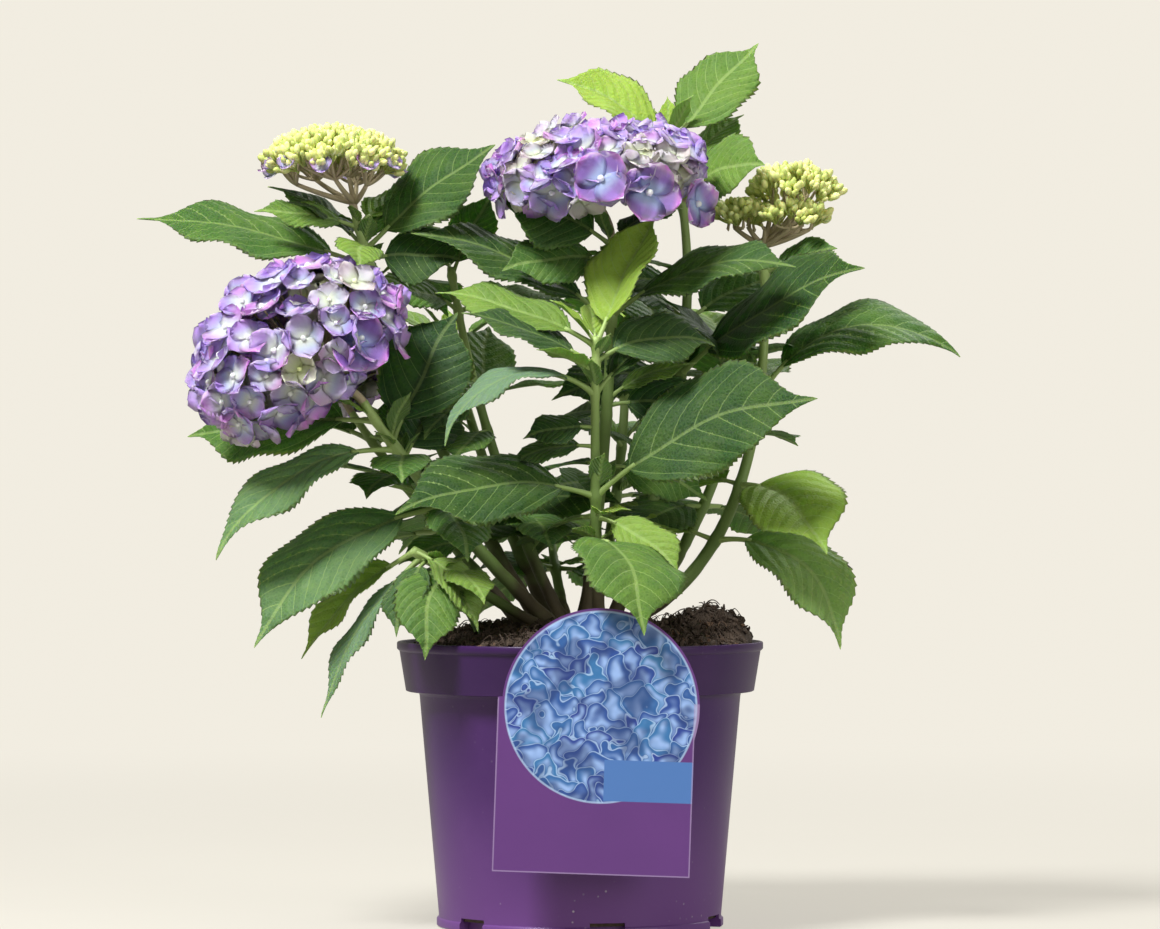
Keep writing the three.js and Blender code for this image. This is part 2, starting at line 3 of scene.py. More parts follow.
import bpy
import numpy as np
from bpy.props import FloatProperty, FloatVectorProperty, IntProperty, PointerProperty
from bpy.types import Operator, Panel, PropertyGroup
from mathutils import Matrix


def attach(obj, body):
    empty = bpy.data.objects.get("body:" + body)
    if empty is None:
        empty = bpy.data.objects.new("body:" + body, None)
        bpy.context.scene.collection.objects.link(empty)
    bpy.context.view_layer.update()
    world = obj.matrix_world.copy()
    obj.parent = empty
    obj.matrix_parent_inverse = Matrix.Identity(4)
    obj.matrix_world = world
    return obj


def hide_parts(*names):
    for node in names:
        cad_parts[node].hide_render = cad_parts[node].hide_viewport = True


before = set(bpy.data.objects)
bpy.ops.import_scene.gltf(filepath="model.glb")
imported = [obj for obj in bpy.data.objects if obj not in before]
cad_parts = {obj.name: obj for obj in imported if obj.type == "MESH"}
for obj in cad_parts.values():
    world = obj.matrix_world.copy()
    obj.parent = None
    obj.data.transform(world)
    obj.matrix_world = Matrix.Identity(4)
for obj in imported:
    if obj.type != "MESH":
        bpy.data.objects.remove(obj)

bl_info = {
    "name": "Potted Hydrangea",
    "version": (1, 0, 0),
    "blender": (4, 5, 0),
    "location": "3D View > Sidebar > Hydrangea",
    "description": "A mophead hydrangea in a purple nursery pot, worked out from its sizes",
    "category": "Object",
}

# Sizes are in millimetres and become metres where a piece is made.
MM = 0.001
UP = np.array([0.0, 0.0, 1.0])
GOLDEN_TURN = math.pi * (3 - math.sqrt(5))
BLACK = (0.0, 0.0, 0.0)
MAP_MARGIN = 0.03

# Pot
POT_HEIGHT = 178
RIM_RADIUS = 115
RIM_THICKNESS = 3
BAND_FOOT_HEIGHT = 147
BAND_FOOT_RADIUS = 109.5
BODY_TOP_RADIUS = 101
BODY_FOOT_RADIUS = 88.5
FOOT_RING_RADIUS = 90
FOOT_RING_HEIGHT = 5
WALL = 2
PAD_RADIUS = 40
UNDERSIDE_RISE = 3
FLOOR_TOP = 5.5
NOTCH_WIDTH = 22
NOTCH_HEIGHT = 8
NOTCH_COUNT = 6
FRONT_NOTCH_BEARING = -79
DRAIN_RADIUS = 4
DRAIN_CIRCLE_RADIUS = 60

# Soil
SEAT_RADIUS = 46
SEAT_HEIGHT = 188
SOIL_EDGE_HEIGHT = 170
HEAP_HEIGHT = 18
HEAP_AT = (88, -8)
HEAP_SPREAD = 26
SLOPE_POWER = 0.6
POT_BORE = BAND_FOOT_RADIUS - WALL
SOIL_GAP = 0.9

# Card
CARD_THICKNESS = 0.8
CARD_FRONT = -118
CARD_LEFT = -50
CARD_RIGHT = 70
CARD_FOOT = 40
CARD_SHOULDER = 146
DISC_RADIUS = 60
DISC_AT = (12.7, 141.8)
CARD_LEAN = 2
TONGUE_WIDTH = 22
TONGUE_AT = 3
TONGUE_BACK = -106.4
TONGUE_FOOT = 158
TAB_SIDES = (16, 70)
TAB_HEIGHTS = (85, 110)
CUT_EDGE = 0.8
CARD_BOW = 0.9
SCALE_PITCH = 16.0
SCALE_SWAY = 36.0

# Leaves: the stalk, the folds in degrees, the teeth, the side veins and the way that they
# run on toward the tip, the drawn tip, then the drop of the margins, the swelling, ripple
# and sway as parts of the length, the rib, and the stalk's clasp on the stem.
PETIOLE = 0.18
PETIOLE_RADIUS = 1.6
LEAF_FOLD = 12
YOUNG_FOLD = 50
TOOTH_PITCH = 4.4
TOOTH_DEPTH = 1.5
VEIN_PAIRS = 8
VEIN_RUN = 0.2
VEIN_ARC = 0.22
ACROSS = 17
TIP_START = 0.66
TIP_SPAN = 0.28
TIP_DRAW = 0.72
MARGIN_DROP = 0.22
PUFF = 0.009
RIPPLE = 0.024
SWAY = 0.02
RIB = 1.6
CLASP = 1.5
CLASP_FALL = 4.5

# Which leaves go with a listed one: the least length of one that has young leaves in its
# axil, the least of one that has a partner, and how far apart a pair's roots may be.
AXIL_LENGTH = 60
PARTNER_LENGTH = 70
PAIR_SPREAD = 8

# Stems
GROUND = SEAT_HEIGHT + 0.3
STEM_FLARE = 1.4
FLARE_FALL = 30
STEM_STEP = 2.5
STEM_SIDES = 16
NODE_SWELL = 0.55
NODE_SPREAD = 3.2
BARK_RELIEF = 0.3

# Each shoot has a foot on the soil, a knee that its curve leans to, a tip, its girth at
# both ends, and its leaves: height on the stem, heading (0 to the right, 90 away), rise,
# length, sag, turn of the face to the front, breadth for its length, and tone from 0, old
# and dark, to 1, young and bright. The tone also carries painted light and shade: it is set
# higher for leaves that lie in shade and lower for leaves in full light.
SHOOTS = {
    "right": ((26, -2), (124, 4, 230), (117, 42, 422), (4.6, 2.6), (
        (241, 332, 10, 124, 95, 35, 0.5, 0.7),
        (276, 302, 4, 110, 55, 18, 0.78, 0.72),
        (318, 80, 22, 62, 40, 0, 0.6, 0.45),
        (330, 358, 64, 150, 104, 24, 0.62, 0.2),
        (410, 332, 32, 54, 30, 45, 0.75, 0.35),
        (410, 136, 24, 60, 20, 15, 0.5, 0.4),
    )),
    "tall": ((20, 20), (94, 64, 380), (55, 42, 498), (4.4, 2.2), (
        (345, 110, 52, 94, 30, 0, 0.6, 0.4),
        (346, 316, 36, 170, 27, 50, 0.55, 0.1),
        (380, 30, 34, 84, 20, 36, 0.6, 0.3),
        (452, 112, 26, 72, 40, 0, 0.6, 0.5),
        (455, 318, 48, 76, 60, 62, 0.8, 0.62),
        (472, 38, 50, 70, 25, 10, 0.6, 0.58),
        (491, 178, 47, 85, 32, 44, 0.66, 0.94),
        (492, 28, 48, 94, 4, 34, 0.68, 0.58),
    )),
    "middle": ((2, 8), (22, -4, 330), (20, -4, 430), (4.4, 2.6), (
        (288, 350, 2, 72, 40, 50, 0.66, 0.4),
        (320, 116, 10, 64, 20, 30, 0.7, 0.3),
        (330, 352, 40, 62, 36, 30, 0.55, 0.5),
        (378, 184, 42, 140, 36, 34, 0.45, 0.16),
        (382, 334, 38, 134, 50, 34, 0.48, 0.2),
        (416, 206, 12, 78, 34, 50, 0.66, 0.36),
        (418, 112, 6, 66, 30, 0, 0.6, 0.35),
    )),
    "front": ((12, -26), (8, -48, 285), (10, -56, 368), (3.8, 2.2), (
        (240, 286, 10, 126, 75, -8, 0.68, 0.48),
        (256, 324, -8, 76, 45, 40, 0.5, 0.7),
        (269, 342, 42, 158, 38, 60, 0.6, 0.16),
        (269, 204, 18, 138, 45, 38, 0.6, 0.16),
        (332, 198, 40, 122, 116, 12, 0.4, 0.24),
        (346, 228, 24, 56, 20, 0, 0.6, 0.72),
        (350, 186, 34, 90, 25, 22, 0.62, 0.16),
        (352, 16, 38, 82, 60, 44, 0.7, 0.12),
        (362, 162, 32, 112, 28, 34, 0.42, 0.62),
        (362, 30, 66, 96, 8, 10, 0.8, 0.92),
    )),
    "left": ((-18, -8), (-92, -20, 262), (-135, -30, 328), (4.6, 2.8), (
        (262, 200, -7, 156, 56, 34, 0.5, 0.44),
        (262, 286, 2, 74, 60, 0, 0.65, 0.4),
        (294, 272, 8, 58, 50, 0, 0.8, 0.3),
        (298, 200, 4, 144, 68, 26, 0.38, 0.46),
        (302, 30, 68, 95, 15, 42, 0.84, 0.0),
        (316, 156, 4, 134, 16, 50, 0.58, 0.36),
    )),
    "upper_left": ((-24, 12), (-106, 20, 310), (-142, 10, 448), (4.4, 2.6), (
        (413, 178, 22, 152, 20, 26, 0.54, 0.36),
        (404, 66, 10, 112, 40, 0, 0.6, 0.35),
        (424, 356, 46, 106, 14, 44, 0.78, 0.18),
        (424, 268, 16, 64, 60, 20, 0.6, 0.6),
        (438, 200, 20, 70, 24, 40, 0.5, 0.5),
        (440, 52, 32, 62, 20, 20, 0.6, 0.55),
    )),
    "inner_left": ((-10, 16), (-62, 24, 290), (-82, 26, 414), (4, 2.2), (
        (256, 290, 8, 74, 50, 0, 0.7, 0.35),
        (310, 248, 0, 58, 40, 0, 0.7, 0.3),
        (330, 84, 50, 72, 16, 20, 0.75, 0.5),
        (330, 232, 0, 62, 50, 10, 0.6, 0.3),
        (386, 222, 34, 70, 55, 40, 0.62, 0.4),
        (386, 20, 18, 80, 30, 30, 0.6, 0.3),
        (408, 10, 72, 60, 16, 45, 0.75, 0.25),
        (408, 104, 42, 70, 30, 10, 0.6, 0.4),
    )),
    "low_left": ((-26, -20), (-70, -40, 215), (-104, -48, 236), (3.6, 2.2), (
        (222, 256, 4, 86, 95, 20, 0.6, 0.48),
        (222, 294, 12, 62, 60, 0, 0.6, 0.55),
        (230, 246, -16, 68, 60, 0, 0.5, 0.25),
        (232, 194, -40, 120, 34, 18, 0.26, 0.3),
        (235, 158, -26, 104, 30, 44, 0.5, 0.9),
    )),
    "back_right": ((36, 14), (96, 66, 275), (106, 92, 356), (4.2, 2.4), (
        (262, 58, 4, 116, 40, 0, 0.6, 0.3),
        (304, 112, 28, 104, 40, 0, 0.6, 0.35),
        (304, 50, 18, 76, 40, 0, 0.6, 0.3),
        (330, 78, 34, 108, 40, 0, 0.6, 0.4),
        (330, 180, 30, 50, 40, 0, 0.6, 0.3),
        (352, 116, 46, 92, 40, 0, 0.6, 0.6),
        (352, 300, 26, 84, 40, 0, 0.6, 0.35),
    )),
    "back_middle": ((8, 34), (30, 100, 280), (30, 122, 366), (4.2, 2.4), (
        (268, 40, 10, 76, 40, 0, 0.6, 0.3),
        (300, 96, 26, 104, 40, 0, 0.6, 0.35),
        (332, 22, 30, 96, 40, 0, 0.6, 0.3),
        (332, 158, 22, 96, 40, 0, 0.6, 0.3),
        (356, 10, 30, 76, 40, 0, 0.6, 0.4),
        (362, 96, 56, 90, 40, 0, 0.6, 0.7),
        (362, 232, 50, 76, 40, 0, 0.6, 0.5),
    )),
    "back_left": ((-18, 28), (-64, 92, 280), (-84, 112, 368), (4.2, 2.4), (
        (262, 128, 4, 118, 40, 0, 0.6, 0.3),
        (306, 168, 24, 96, 40, 0, 0.6, 0.3),
        (338, 108, 34, 104, 40, 0, 0.6, 0.4),
        (338, 236, 30, 60, 40, 0, 0.6, 0.3),
        (364, 150, 40, 92, 40, 0, 0.6, 0.6),
        (364, 20, 44, 90, 40, 0, 0.6, 0.45),
    )),
    "far_left": ((-36, 0), (-104, 48, 262), (-146, 62, 322), (4, 2.4), (
        (246, 150, 2, 112, 40, 0, 0.6, 0.3),
        (278, 186, 24, 92, 40, 0, 0.6, 0.25),
        (278, 80, 12, 100, 40, 0, 0.6, 0.35),
        (304, 138, 22, 112, 40, 0, 0.6, 0.35),
        (300, 60, 40, 34, 40, 0, 0.6, 0.6),
    )),
    "low_back": ((-8, 40), (-18, 96, 222), (-20, 124, 258), (3.6, 2.2), (
        (222, 50, 0, 96, 40, 0, 0.6, 0.35),
        (222, 132, -4, 92, 40, 0, 0.6, 0.4),
        (252, 88, 8, 112, 40, 0, 0.6, 0.5),
        (252, 170, -8, 64, 40, 0, 0.6, 0.45),
    )),
}

# Leaves in the shade of the middle, which some shoots carry besides the listed ones. Their
# numbers are as above.
INNER_LEAVES = {
    "middle": ((426, 196, 38, 86, 34, 58, 0.85, 0.2), (326, 352, 12, 72, 40, 50, 0.8, 0.04)),
    "upper_left": ((418, 346, 14, 62, 30, 50, 1.0, 0.1),),
    "left": ((292, 60, 50, 66, 30, 40, 1.0, 0.04), (240, 190, 4, 50, 40, 30, 0.8, 0.45)),
    "front": ((300, 178, 8, 56, 40, 30, 0.66, 0.2), (312, 186, 6, 46, 30, 40, 0.8, 0.1)),
    "tall": ((345, 200, 10, 90, 40, 40, 0.6, 0.08), (400, 190, 24, 70, 40, 40, 0.6, 0.1),
             (490, 100, 80, 36, 15, 30, 0.5, 0.9)),
}

# Where light shows through the crown from the front: left, right, foot and top, at the depth
# of the pot's middle.
OPEN_VIEWS = (
    (-63, -16, 304, 337),
    (-80, -53, 398, 416),
    (-43, -28, 348, 370),
    (112, 142, 338, 399),
    (-160, -112, 183, 222),
    (69, 94, 223, 273),
    (44, 69, 420, 440),
)

# An open head is a flattened ball of florets: its shoot, middle, axis, radius, half height,
# florets, how much of it is still cream and unripe, and how much longer it is along LONG_WAY.
MOPHEADS = {
    "left": ("left", (-177, -42, 362), (-0.5, -0.5, 0.7), 58, 41, 84, 0.03, 1.22),
    "middle": ("middle", (8, -14, 473), (-0.1, -0.15, 1), 65, 29, 78, 0.26, 1.0),
    "back": ("far_left", (-160, 94, 352), (-0.35, 0.5, 0.8), 38, 25, 36, 0.3, 1.0),
}
LONG_WAY = (0.8, 0.0, 0.6)
# The way that a head's florets get riper, as long as its share in their colour.
RIPE_SIDES = {"left": (-0.8, 0.0, 0.9), "middle": (0.0, 0.0, 0.9), "back": (0.0, 0.0, 0.9)}
FLORET_RADIUS = 15
SEPALS = 4
SEPAL_THICKNESS = 0.35
# The layers of a head: how far out they lie, their part of the florets, and how large those
# are.
LAYERS = ((0.95, 1.0, 1.0), (0.8, 0.75, 0.8))
LOWEST_FLORET = -0.55

# The widest florets of a head: middle, way that it faces, and radius.
WIDE_FLORETS = {
    "left": (((-138, -82, 363), (0.35, -0.9, 0.2), 21),),
    "middle": (
        ((13, -80, 464), (-0.1, -0.95, 0.25), 18.5),
        ((42, -72, 456), (0.3, -0.9, 0.1), 20),
        ((72, -40, 451), (0.8, -0.6, -0.1), 17),
    ),
    "back": (),
}

# A head in bud is a few flat clusters at the ends of rays: middle, radius, half height and
# tufts of buds.
BUD_HEADS = {
    "upper_left": ("upper_left", (((-155, 8, 480), 46, 22, 56),)),
    "right": ("right", (
        ((137, 42, 463), 30, 18, 20),
        ((132, 40, 448), 28, 11, 11),
        ((103, 42, 448), 18, 11, 8),
    )),
}
BUD_LENGTH = 7.5
BUD_RADIUS = 2.3
BUDS_IN_TUFT = 13
TUFT_STALK = 12
EARLY_FLORETS = 9

# Camera
EYE = (0, -3400, 289)
SEEN_WIDTH = 729
SENSOR = 36

# The stage, in metres: each light's place and size, the place that they all point at, how
# far the floor runs, and how far it lies under the pot.
LIGHTS = {
    "key": ((-1.2, -1.3, 2.7), 0.9),
    "fill": ((2.4, -2.2, 1.2), 1.8),
    "rim": ((0.9, 1.7, 1.9), 1.2),
}
LIT_PLACE = (0.0, 0.05, 0.3)
FLOOR_REACH = 40
FLOOR_DROP = 0.0005


# Surfaces


def unit(vectors):
    """Vectors of length one along the given ones."""
    return vectors / np.linalg.norm(vectors, axis=-1, keepdims=True)


def closed_rings(rings, **values):
    """A closed surface: rings of points joined in order, and a fan over each end ring.

    rings is an array of rows, sides and 3. A value is a number or a vector, the same all over
    or one for each point of the rings. The map runs round the rings and along them, both from
    0 to 1.
    """
    rows, sides = rings.shape[:2]
    index = np.arange(rows * sides).reshape(rows, sides)
    beside = np.roll(index, -1, axis=1)
    quads = np.stack([index[:-1], beside[:-1], beside[1:], index[1:]], -1).reshape(-1, 4)
    left = np.tile(np.arange(sides) / sides, (rows - 1, 1))
    right = left + 1 / sides
    low = np.tile(np.arange(rows - 1)[:, None] / (rows - 1), (1, sides))
    high = low + 1 / (rows - 1)
    pairs = ((left, low), (right, low), (right, high), (left, high))
    quad_map = np.stack([np.stack(pair, -1) for pair in pairs], 2).reshape(-1, 4, 2)
    start = np.full(sides, rows * sides)
    fans = ((start, beside[0], index[0]), (start + 1, index[-1], beside[-1]))
    triangles = np.concatenate([np.stack(fan, -1) for fan in fans])
    middle = left[0] + 0.5 / sides
    ends = [np.zeros(sides), np.ones(sides)]
    tri_map = np.concatenate(
        [
            np.stack([np.stack(pair, -1) for pair in ((middle, end), (a, end), (b, end))], 1)
            for end, a, b in ((ends[0], right[0], left[0]), (ends[1], left[0], right[0]))
        ]
    )

    def with_ends(array):
        array = np.asarray(array, float)
        # A vector, alone or at each point, has an odd number of axes and a plain number an
        # even one.
        width = array.shape[-1:] * (array.ndim % 2)
        array = np.broadcast_to(array, (rows, sides) + width)
        flat = array.reshape((rows * sides,) + width)
        return np.concatenate([flat, array[:1].mean(axis=1), array[-1:].mean(axis=1)])

    return {
        "points": with_ends(rings),
        "quads": quads,
        "triangles": triangles,
        "quad_map": quad_map,
        "triangle_map": tri_map,
        "values": {name: with_ends(value) for name, value in values.items()},
    }


def rings_along(path, along, radii, sides):
    """Rings square to a path: each is the cosine and the sine of its turn, times the radius,
    along two directions square to the path's own."""
    flank = unit(np.cross(np.array([0.0, -1.0, 0.0]), along))
    front = np.cross(along, flank)
    turn = (2 * np.pi * np.arange(sides) / sides)[None, :, None]
    spokes = flank[:, None] * np.cos(turn) + front[:, None] * np.sin(turn)
    return path[:, None] + spokes * np.asarray(radii).reshape(len(path), -1, 1)


def tube(path, radii, sides, **values):
    """A tapering limb along a path, with its directions taken from the path's own steps."""
    path = np.asarray(path, float)
    along = unit(np.gradient(path, axis=0))
    return closed_rings(rings_along(path, along, radii, sides), **values)


def bezier(start, knee, end, share):
    """A bend from start to end that leans to its knee: the usual sum of three points with
    squared shares."""
    start, knee, end, t = (np.asarray(value) for value in (start, knee, end, share))
    t = t[:, None]
    return start * (1 - t) ** 2 + 2 * knee * t * (1 - t) + end * t**2


def square_to(axis):
    """Two directions square to an axis and to each other."""
    flank = unit(np.cross(np.array([0.0, 1.0, 0.1]), axis))
    return flank, np.cross(axis, flank)


def places_on_ball(centre, axis, radius, half, count, lowest):
    """Even places on a flattened ball: each next one is a golden turn on and a step lower."""
    flank, front = square_to(axis)
    i = np.arange(count)
    lift = 1 - (1 - lowest) * (i + 0.5) / count
    reach = np.sqrt(1 - lift**2)
    turn = GOLDEN_TURN * i
    spoke = np.cos(turn)[:, None] * flank + np.sin(turn)[:, None] * front
    place = centre + axis * (half * lift)[:, None] + spoke * (radius * reach)[:, None]
    normal = unit(axis * (lift / half)[:, None] + spoke * (reach / radius)[:, None])
    return place, normal


def waves(seed, count, shortest, longest):
    """A smooth rough field over space: a sum of sine waves with seeded directions and lengths
    between shortest and longest."""
    rng = np.random.default_rng(seed)
    direction = unit(rng.normal(size=(count, 3)))
    number = 2 * np.pi / rng.uniform(shortest, longest, count)
    start = rng.uniform(0, 2 * np.pi, count)
    return lambda points: np.sin((points @ direction.T) * number + start).sum(-1) / math.sqrt(count)


def turned_outward(surface):
    """The surface with its faces turned round if the room they enclose, a sum of the triple
    products of their corners, comes out below nothing."""
    points, quads = surface["points"], surface["quads"]
    faces = np.concatenate([surface["triangles"], quads[:, :3], quads[:, [0, 2, 3]]])
    corners = points[faces] - points.mean(axis=0)
    room = np.einsum("ij,ij->i", corners[:, 0], np.cross(corners[:, 1], corners[:, 2])).sum()
    if room < 0:
        for key in ("quads", "triangles", "quad_map", "triangle_map"):
            surface[key] = surface[key][:, ::-1]
    return surface


def make_piece(name, surfaces, material, replaced, sharp=None):
    """One object from many surfaces. Each surface gets a square of its own in the map."""
    surfaces = [turned_outward(surface) for surface in surfaces]
    counts = np.cumsum([0] + [len(s["points"]) for s in surfaces])
    points = np.concatenate([s["points"] for s in surfaces]) * MM
    quads = np.concatenate([s["quads"] + shift for s, shift in zip(surfaces, counts)])
    triangles = np.concatenate([s["triangles"] + shift for s, shift in zip(surfaces, counts)])
    cells = math.ceil(math.sqrt(len(surfaces)))
    squares = [np.array([i % cells, i // cells]) + MAP_MARGIN for i in range(len(surfaces))]
    corners = np.concatenate([
        ((square + (1 - 2 * MAP_MARGIN) * surface[key]) / cells).ravel()
        for key in ("quad_map", "triangle_map")
        for square, surface in zip(squares, surfaces)
    ])
    mesh = bpy.data.meshes.new(name)
    mesh.vertices.add(len(points))
    mesh.vertices.foreach_set("co", points.ravel())
    mesh.loops.add(quads.size + triangles.size)
    mesh.loops.foreach_set("vertex_index", np.concatenate([quads.ravel(), triangles.ravel()]))
    mesh.polygons.add(len(quads) + len(triangles))
    starts = np.concatenate([4 * np.arange(len(quads)), quads.size + 3 * np.arange(len(triangles))])
    mesh.polygons.foreach_set("loop_start", starts)
    layer = mesh.uv_layers.new(name="OFBake")
    layer.uv.foreach_set("vector", corners.astype(np.float32))
    for key in surfaces[0]["values"]:
        data = np.concatenate([s["values"][key] for s in surfaces])
        kind, field = ("FLOAT", "value") if data.ndim == 1 else ("FLOAT_VECTOR", "vector")
        attribute = mesh.attributes.new(key, kind, "POINT")
        attribute.data.foreach_set(field, data.astype(np.float32).ravel())
    mesh.update()
    mesh.validate()
    mesh.shade_smooth()
    if sharp:
        mesh.set_sharp_from_angle(angle=math.radians(sharp))
    mesh.materials.append(material)
    piece = bpy.data.objects.new(name, mesh)
    bpy.context.scene.collection.objects.link(piece)
    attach(piece, "root")
    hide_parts(*replaced)
    return piece


# Plant


def stem_path(foot, knee, tip, share):
    """Places along a shoot's stem, from its foot on the soil to its tip."""
    return bezier((*foot, GROUND), knee, tip, share)


def share_at(foot, knee, tip, height):
    """The share of a stem's bend at a height, read off 400 places along it."""
    share = np.linspace(0, 1, 401)
    return float(np.interp(height, stem_path(foot, knee, tip, share)[:, 2], share))


def leaf_frame(root, leaf, share):
    """Places along a midrib, with the directions above it and to its flank.

    The midrib is an arc that climbs at its rise and sags evenly, so its height and reach are
    differences of cosines and sines over the sag. The flank and above are turned together
    about the arc's own direction until the face looks to the front.
    """
    _, heading, rise, length, sag, face = leaf[:6]
    turn, climb, bend = (math.radians(angle) for angle in (heading, rise, sag))
    level = np.array([math.cos(turn), math.sin(turn), 0.0])
    angle = (climb - bend * share)[..., None]
    along = level * np.cos(angle) + UP * np.sin(angle)
    above = -level * np.sin(angle) + UP * np.cos(angle)
    flank = np.cross(along, above)
    roll = math.radians(face) * (-1 if level[0] < 0 else 1)
    above, flank = (
        above * math.cos(roll) + flank * math.sin(roll),
        flank * math.cos(roll) - above * math.sin(roll),
    )
    reach = length * (math.sin(climb) - np.sin(angle)) / bend
    height = length * (np.cos(angle) - math.cos(climb)) / bend
    return root + level * reach + UP * height, above, flank


def blade_width(share):
    """Half the width of a blade as a part of its widest: a power of the share times a power
    of what is left of it."""
    peak = (0.7 / 1.55) ** 0.7 * (0.85 / 1.55) ** 0.85
    return share**0.7 * np.clip(1 - share, 0, 1) ** 0.85 / peak


def vein_phase(share, off):
    """A number that is whole on each side vein: veins leave the midrib evenly and run on
    toward the tip by a part of their way off it, and a part of that squared."""
    return VEIN_PAIRS * (share - VEIN_RUN * off - VEIN_ARC * off**2)


def leaf_surface(root, leaf, rng):
    """A blade with toothed margins, a folded midrib, side veins in valleys, and waves along
    its margins, closed by an underside with a round rib.

    Between the veins the blade swells by a power of the sine of the vein number, and its
    height falls off with the square of the way across. Young leaves are folded more, and old
    ones that droop to a side get a painted sheen, a greyer green that stands for the pale sky
    reflected on them. Each row's underside and upper side make one ring.
    """
    _, heading, rise, length, sag, _, breadth, tone = leaf
    blade = length * (1 - PETIOLE)
    widest = breadth * blade / 2
    teeth = int(np.clip(blade / TOOTH_PITCH, 7, 34))
    rows = 2 * teeth + 2
    row = np.arange(rows)[:, None]
    v = np.linspace(-1, 1, ACROSS)[None, :]
    edge = np.abs(v) ** 6
    tooth = np.where(row % 2 == 1, 1.0, -0.3)
    u = np.clip(row / (rows - 1) + 0.8 * edge * (row % 2) / rows, 0, 1)
    drawn = np.clip((u - TIP_START) / TIP_SPAN, 0, 1)
    half = widest * blade_width(u) * (1 - TIP_DRAW * drawn**2 * (3 - 2 * drawn))
    depth = TOOTH_DEPTH * np.clip(half / (0.5 * widest), 0, 1) * min(1, length / 90)
    x = v * np.maximum(half, 1.4 * (1 - u)) + np.sign(v) * edge * depth * tooth
    fold = math.radians(LEAF_FOLD + YOUNG_FOLD * max(0, tone - 0.6))
    off = np.abs(x) / widest
    swell = np.abs(np.sin(np.pi * vein_phase(u, off))) ** 0.7
    puff = PUFF * length * rng.uniform(0.7, 1.3)
    relief = puff * swell * (1 - np.abs(v) ** 4) * (1 - np.exp(-((x / 4) ** 2)))
    start = rng.uniform(0, 2 * np.pi, 3)
    ripple = np.sin(2 * np.pi * np.where(v < 0, 2.3, 2.1) * u + np.where(v < 0, *start[:2]))
    ripple = RIPPLE * length * v**2 * ripple * np.sin(np.pi * u)
    sway = SWAY * length * np.sin(np.pi * u) * np.sin(2 * np.pi * u + start[2])
    height = np.abs(x) * math.sin(fold) - MARGIN_DROP * x**2 / widest + relief + ripple
    place, above, flank = leaf_frame(root, leaf, PETIOLE * 0.97 + (1 - 0.97 * PETIOLE) * u)
    face = place + flank * (x * math.cos(fold) + sway)[..., None] + above * height[..., None]
    rib = (RIB - 1.3 * u) * np.exp(-((x / 1.5) ** 2))
    back = face - above * (0.3 + rib * np.minimum(1, length / 80))[..., None]
    back[:, [0, -1]] = face[:, [0, -1]]

    def both(under, upper):
        """Rings from the rows of the underside and of the upper side."""
        return np.concatenate([under[:, ::-1], upper[:, 1:-1]], axis=1)

    side, along = np.sign(v) * off, u * blade
    upper = both(np.zeros_like(u), np.ones_like(u))
    spot = np.stack([both(u, u), both(side, side), upper], -1)
    seed = np.full(upper.shape, 400 * rng.random())
    span = np.stack([both(x, x), both(along, along), seed], -1)
    # Painted sheen: a greyer green that stands for the pale sky reflected on older leaves that
    # droop to a side, plus a little at random.
    painted_sheen = np.clip((sag - rise - 40) / 40, 0, 1) * np.clip(1.3 - 1.2 * tone, 0, 1)
    painted_sheen = painted_sheen * math.cos(math.radians(heading)) ** 2 + rng.uniform(0, 0.1)
    # The tone is partly the leaf's age and partly painted light and shade, with a little at random.
    tone = np.clip(tone + rng.uniform(-0.07, 0.07), 0, 1)
    rings = both(back, face)
    return closed_rings(rings, leaf_place=spot, leaf_span=span, leaf_tone=tone, leaf_grey=painted_sheen)


def leaf_partners(leaf, leaves, rng):
    """The leaves that go with a listed one: its smaller partner across the stem, unless
    another listed leaf stands there, and often a pair of young ones in its axil."""
    height, heading, rise, length, _, _, breadth, tone = leaf
    if length < AXIL_LENGTH:
        return []
    near = [other[1] - heading for other in leaves if abs(other[0] - height) < PAIR_SPREAD]
    facing = min(math.cos(math.radians(angle)) for angle in near)
    out = []
    if length > PARTNER_LENGTH and facing > -0.3:
        out.append((
            height,
            heading + 180 + rng.uniform(-25, 25),
            min(60, rise + rng.uniform(0, 16)),
            rng.uniform(0.68, 0.82) * min(length, 125),
            rng.uniform(25, 60),
            rng.uniform(0, 40),
            min(0.76, breadth + 0.12),
            max(0, tone - 0.1),
        ))
    if rng.random() < 0.6:
        out += [
            (
                height + 1.5,
                heading + way * rng.uniform(35, 65),
                min(80, rise + rng.uniform(18, 36)),
                rng.uniform(0.22, 0.38) * min(length, 110),
                rng.uniform(15, 40),
                way * 20,
                0.6,
                min(1, tone + 0.22),
            )
            for way in (-1, 1)
        ]
    return out


def stalk_surface(root, leaf):
    """A leaf's stalk: a round limb along the first part of the leaf's arc, wider at its
    clasp on the stem."""
    share = np.linspace(0, PETIOLE * 1.15, 9)
    place, _, _ = leaf_frame(root, leaf, share)
    size = min(1, 0.55 + leaf[3] / 260)
    radii = size * (PETIOLE_RADIUS * 0.95 + CLASP * np.exp(-share * CLASP_FALL / PETIOLE))
    return tube(place, radii, 8, youth=0.7 + 0.3 * leaf[7])


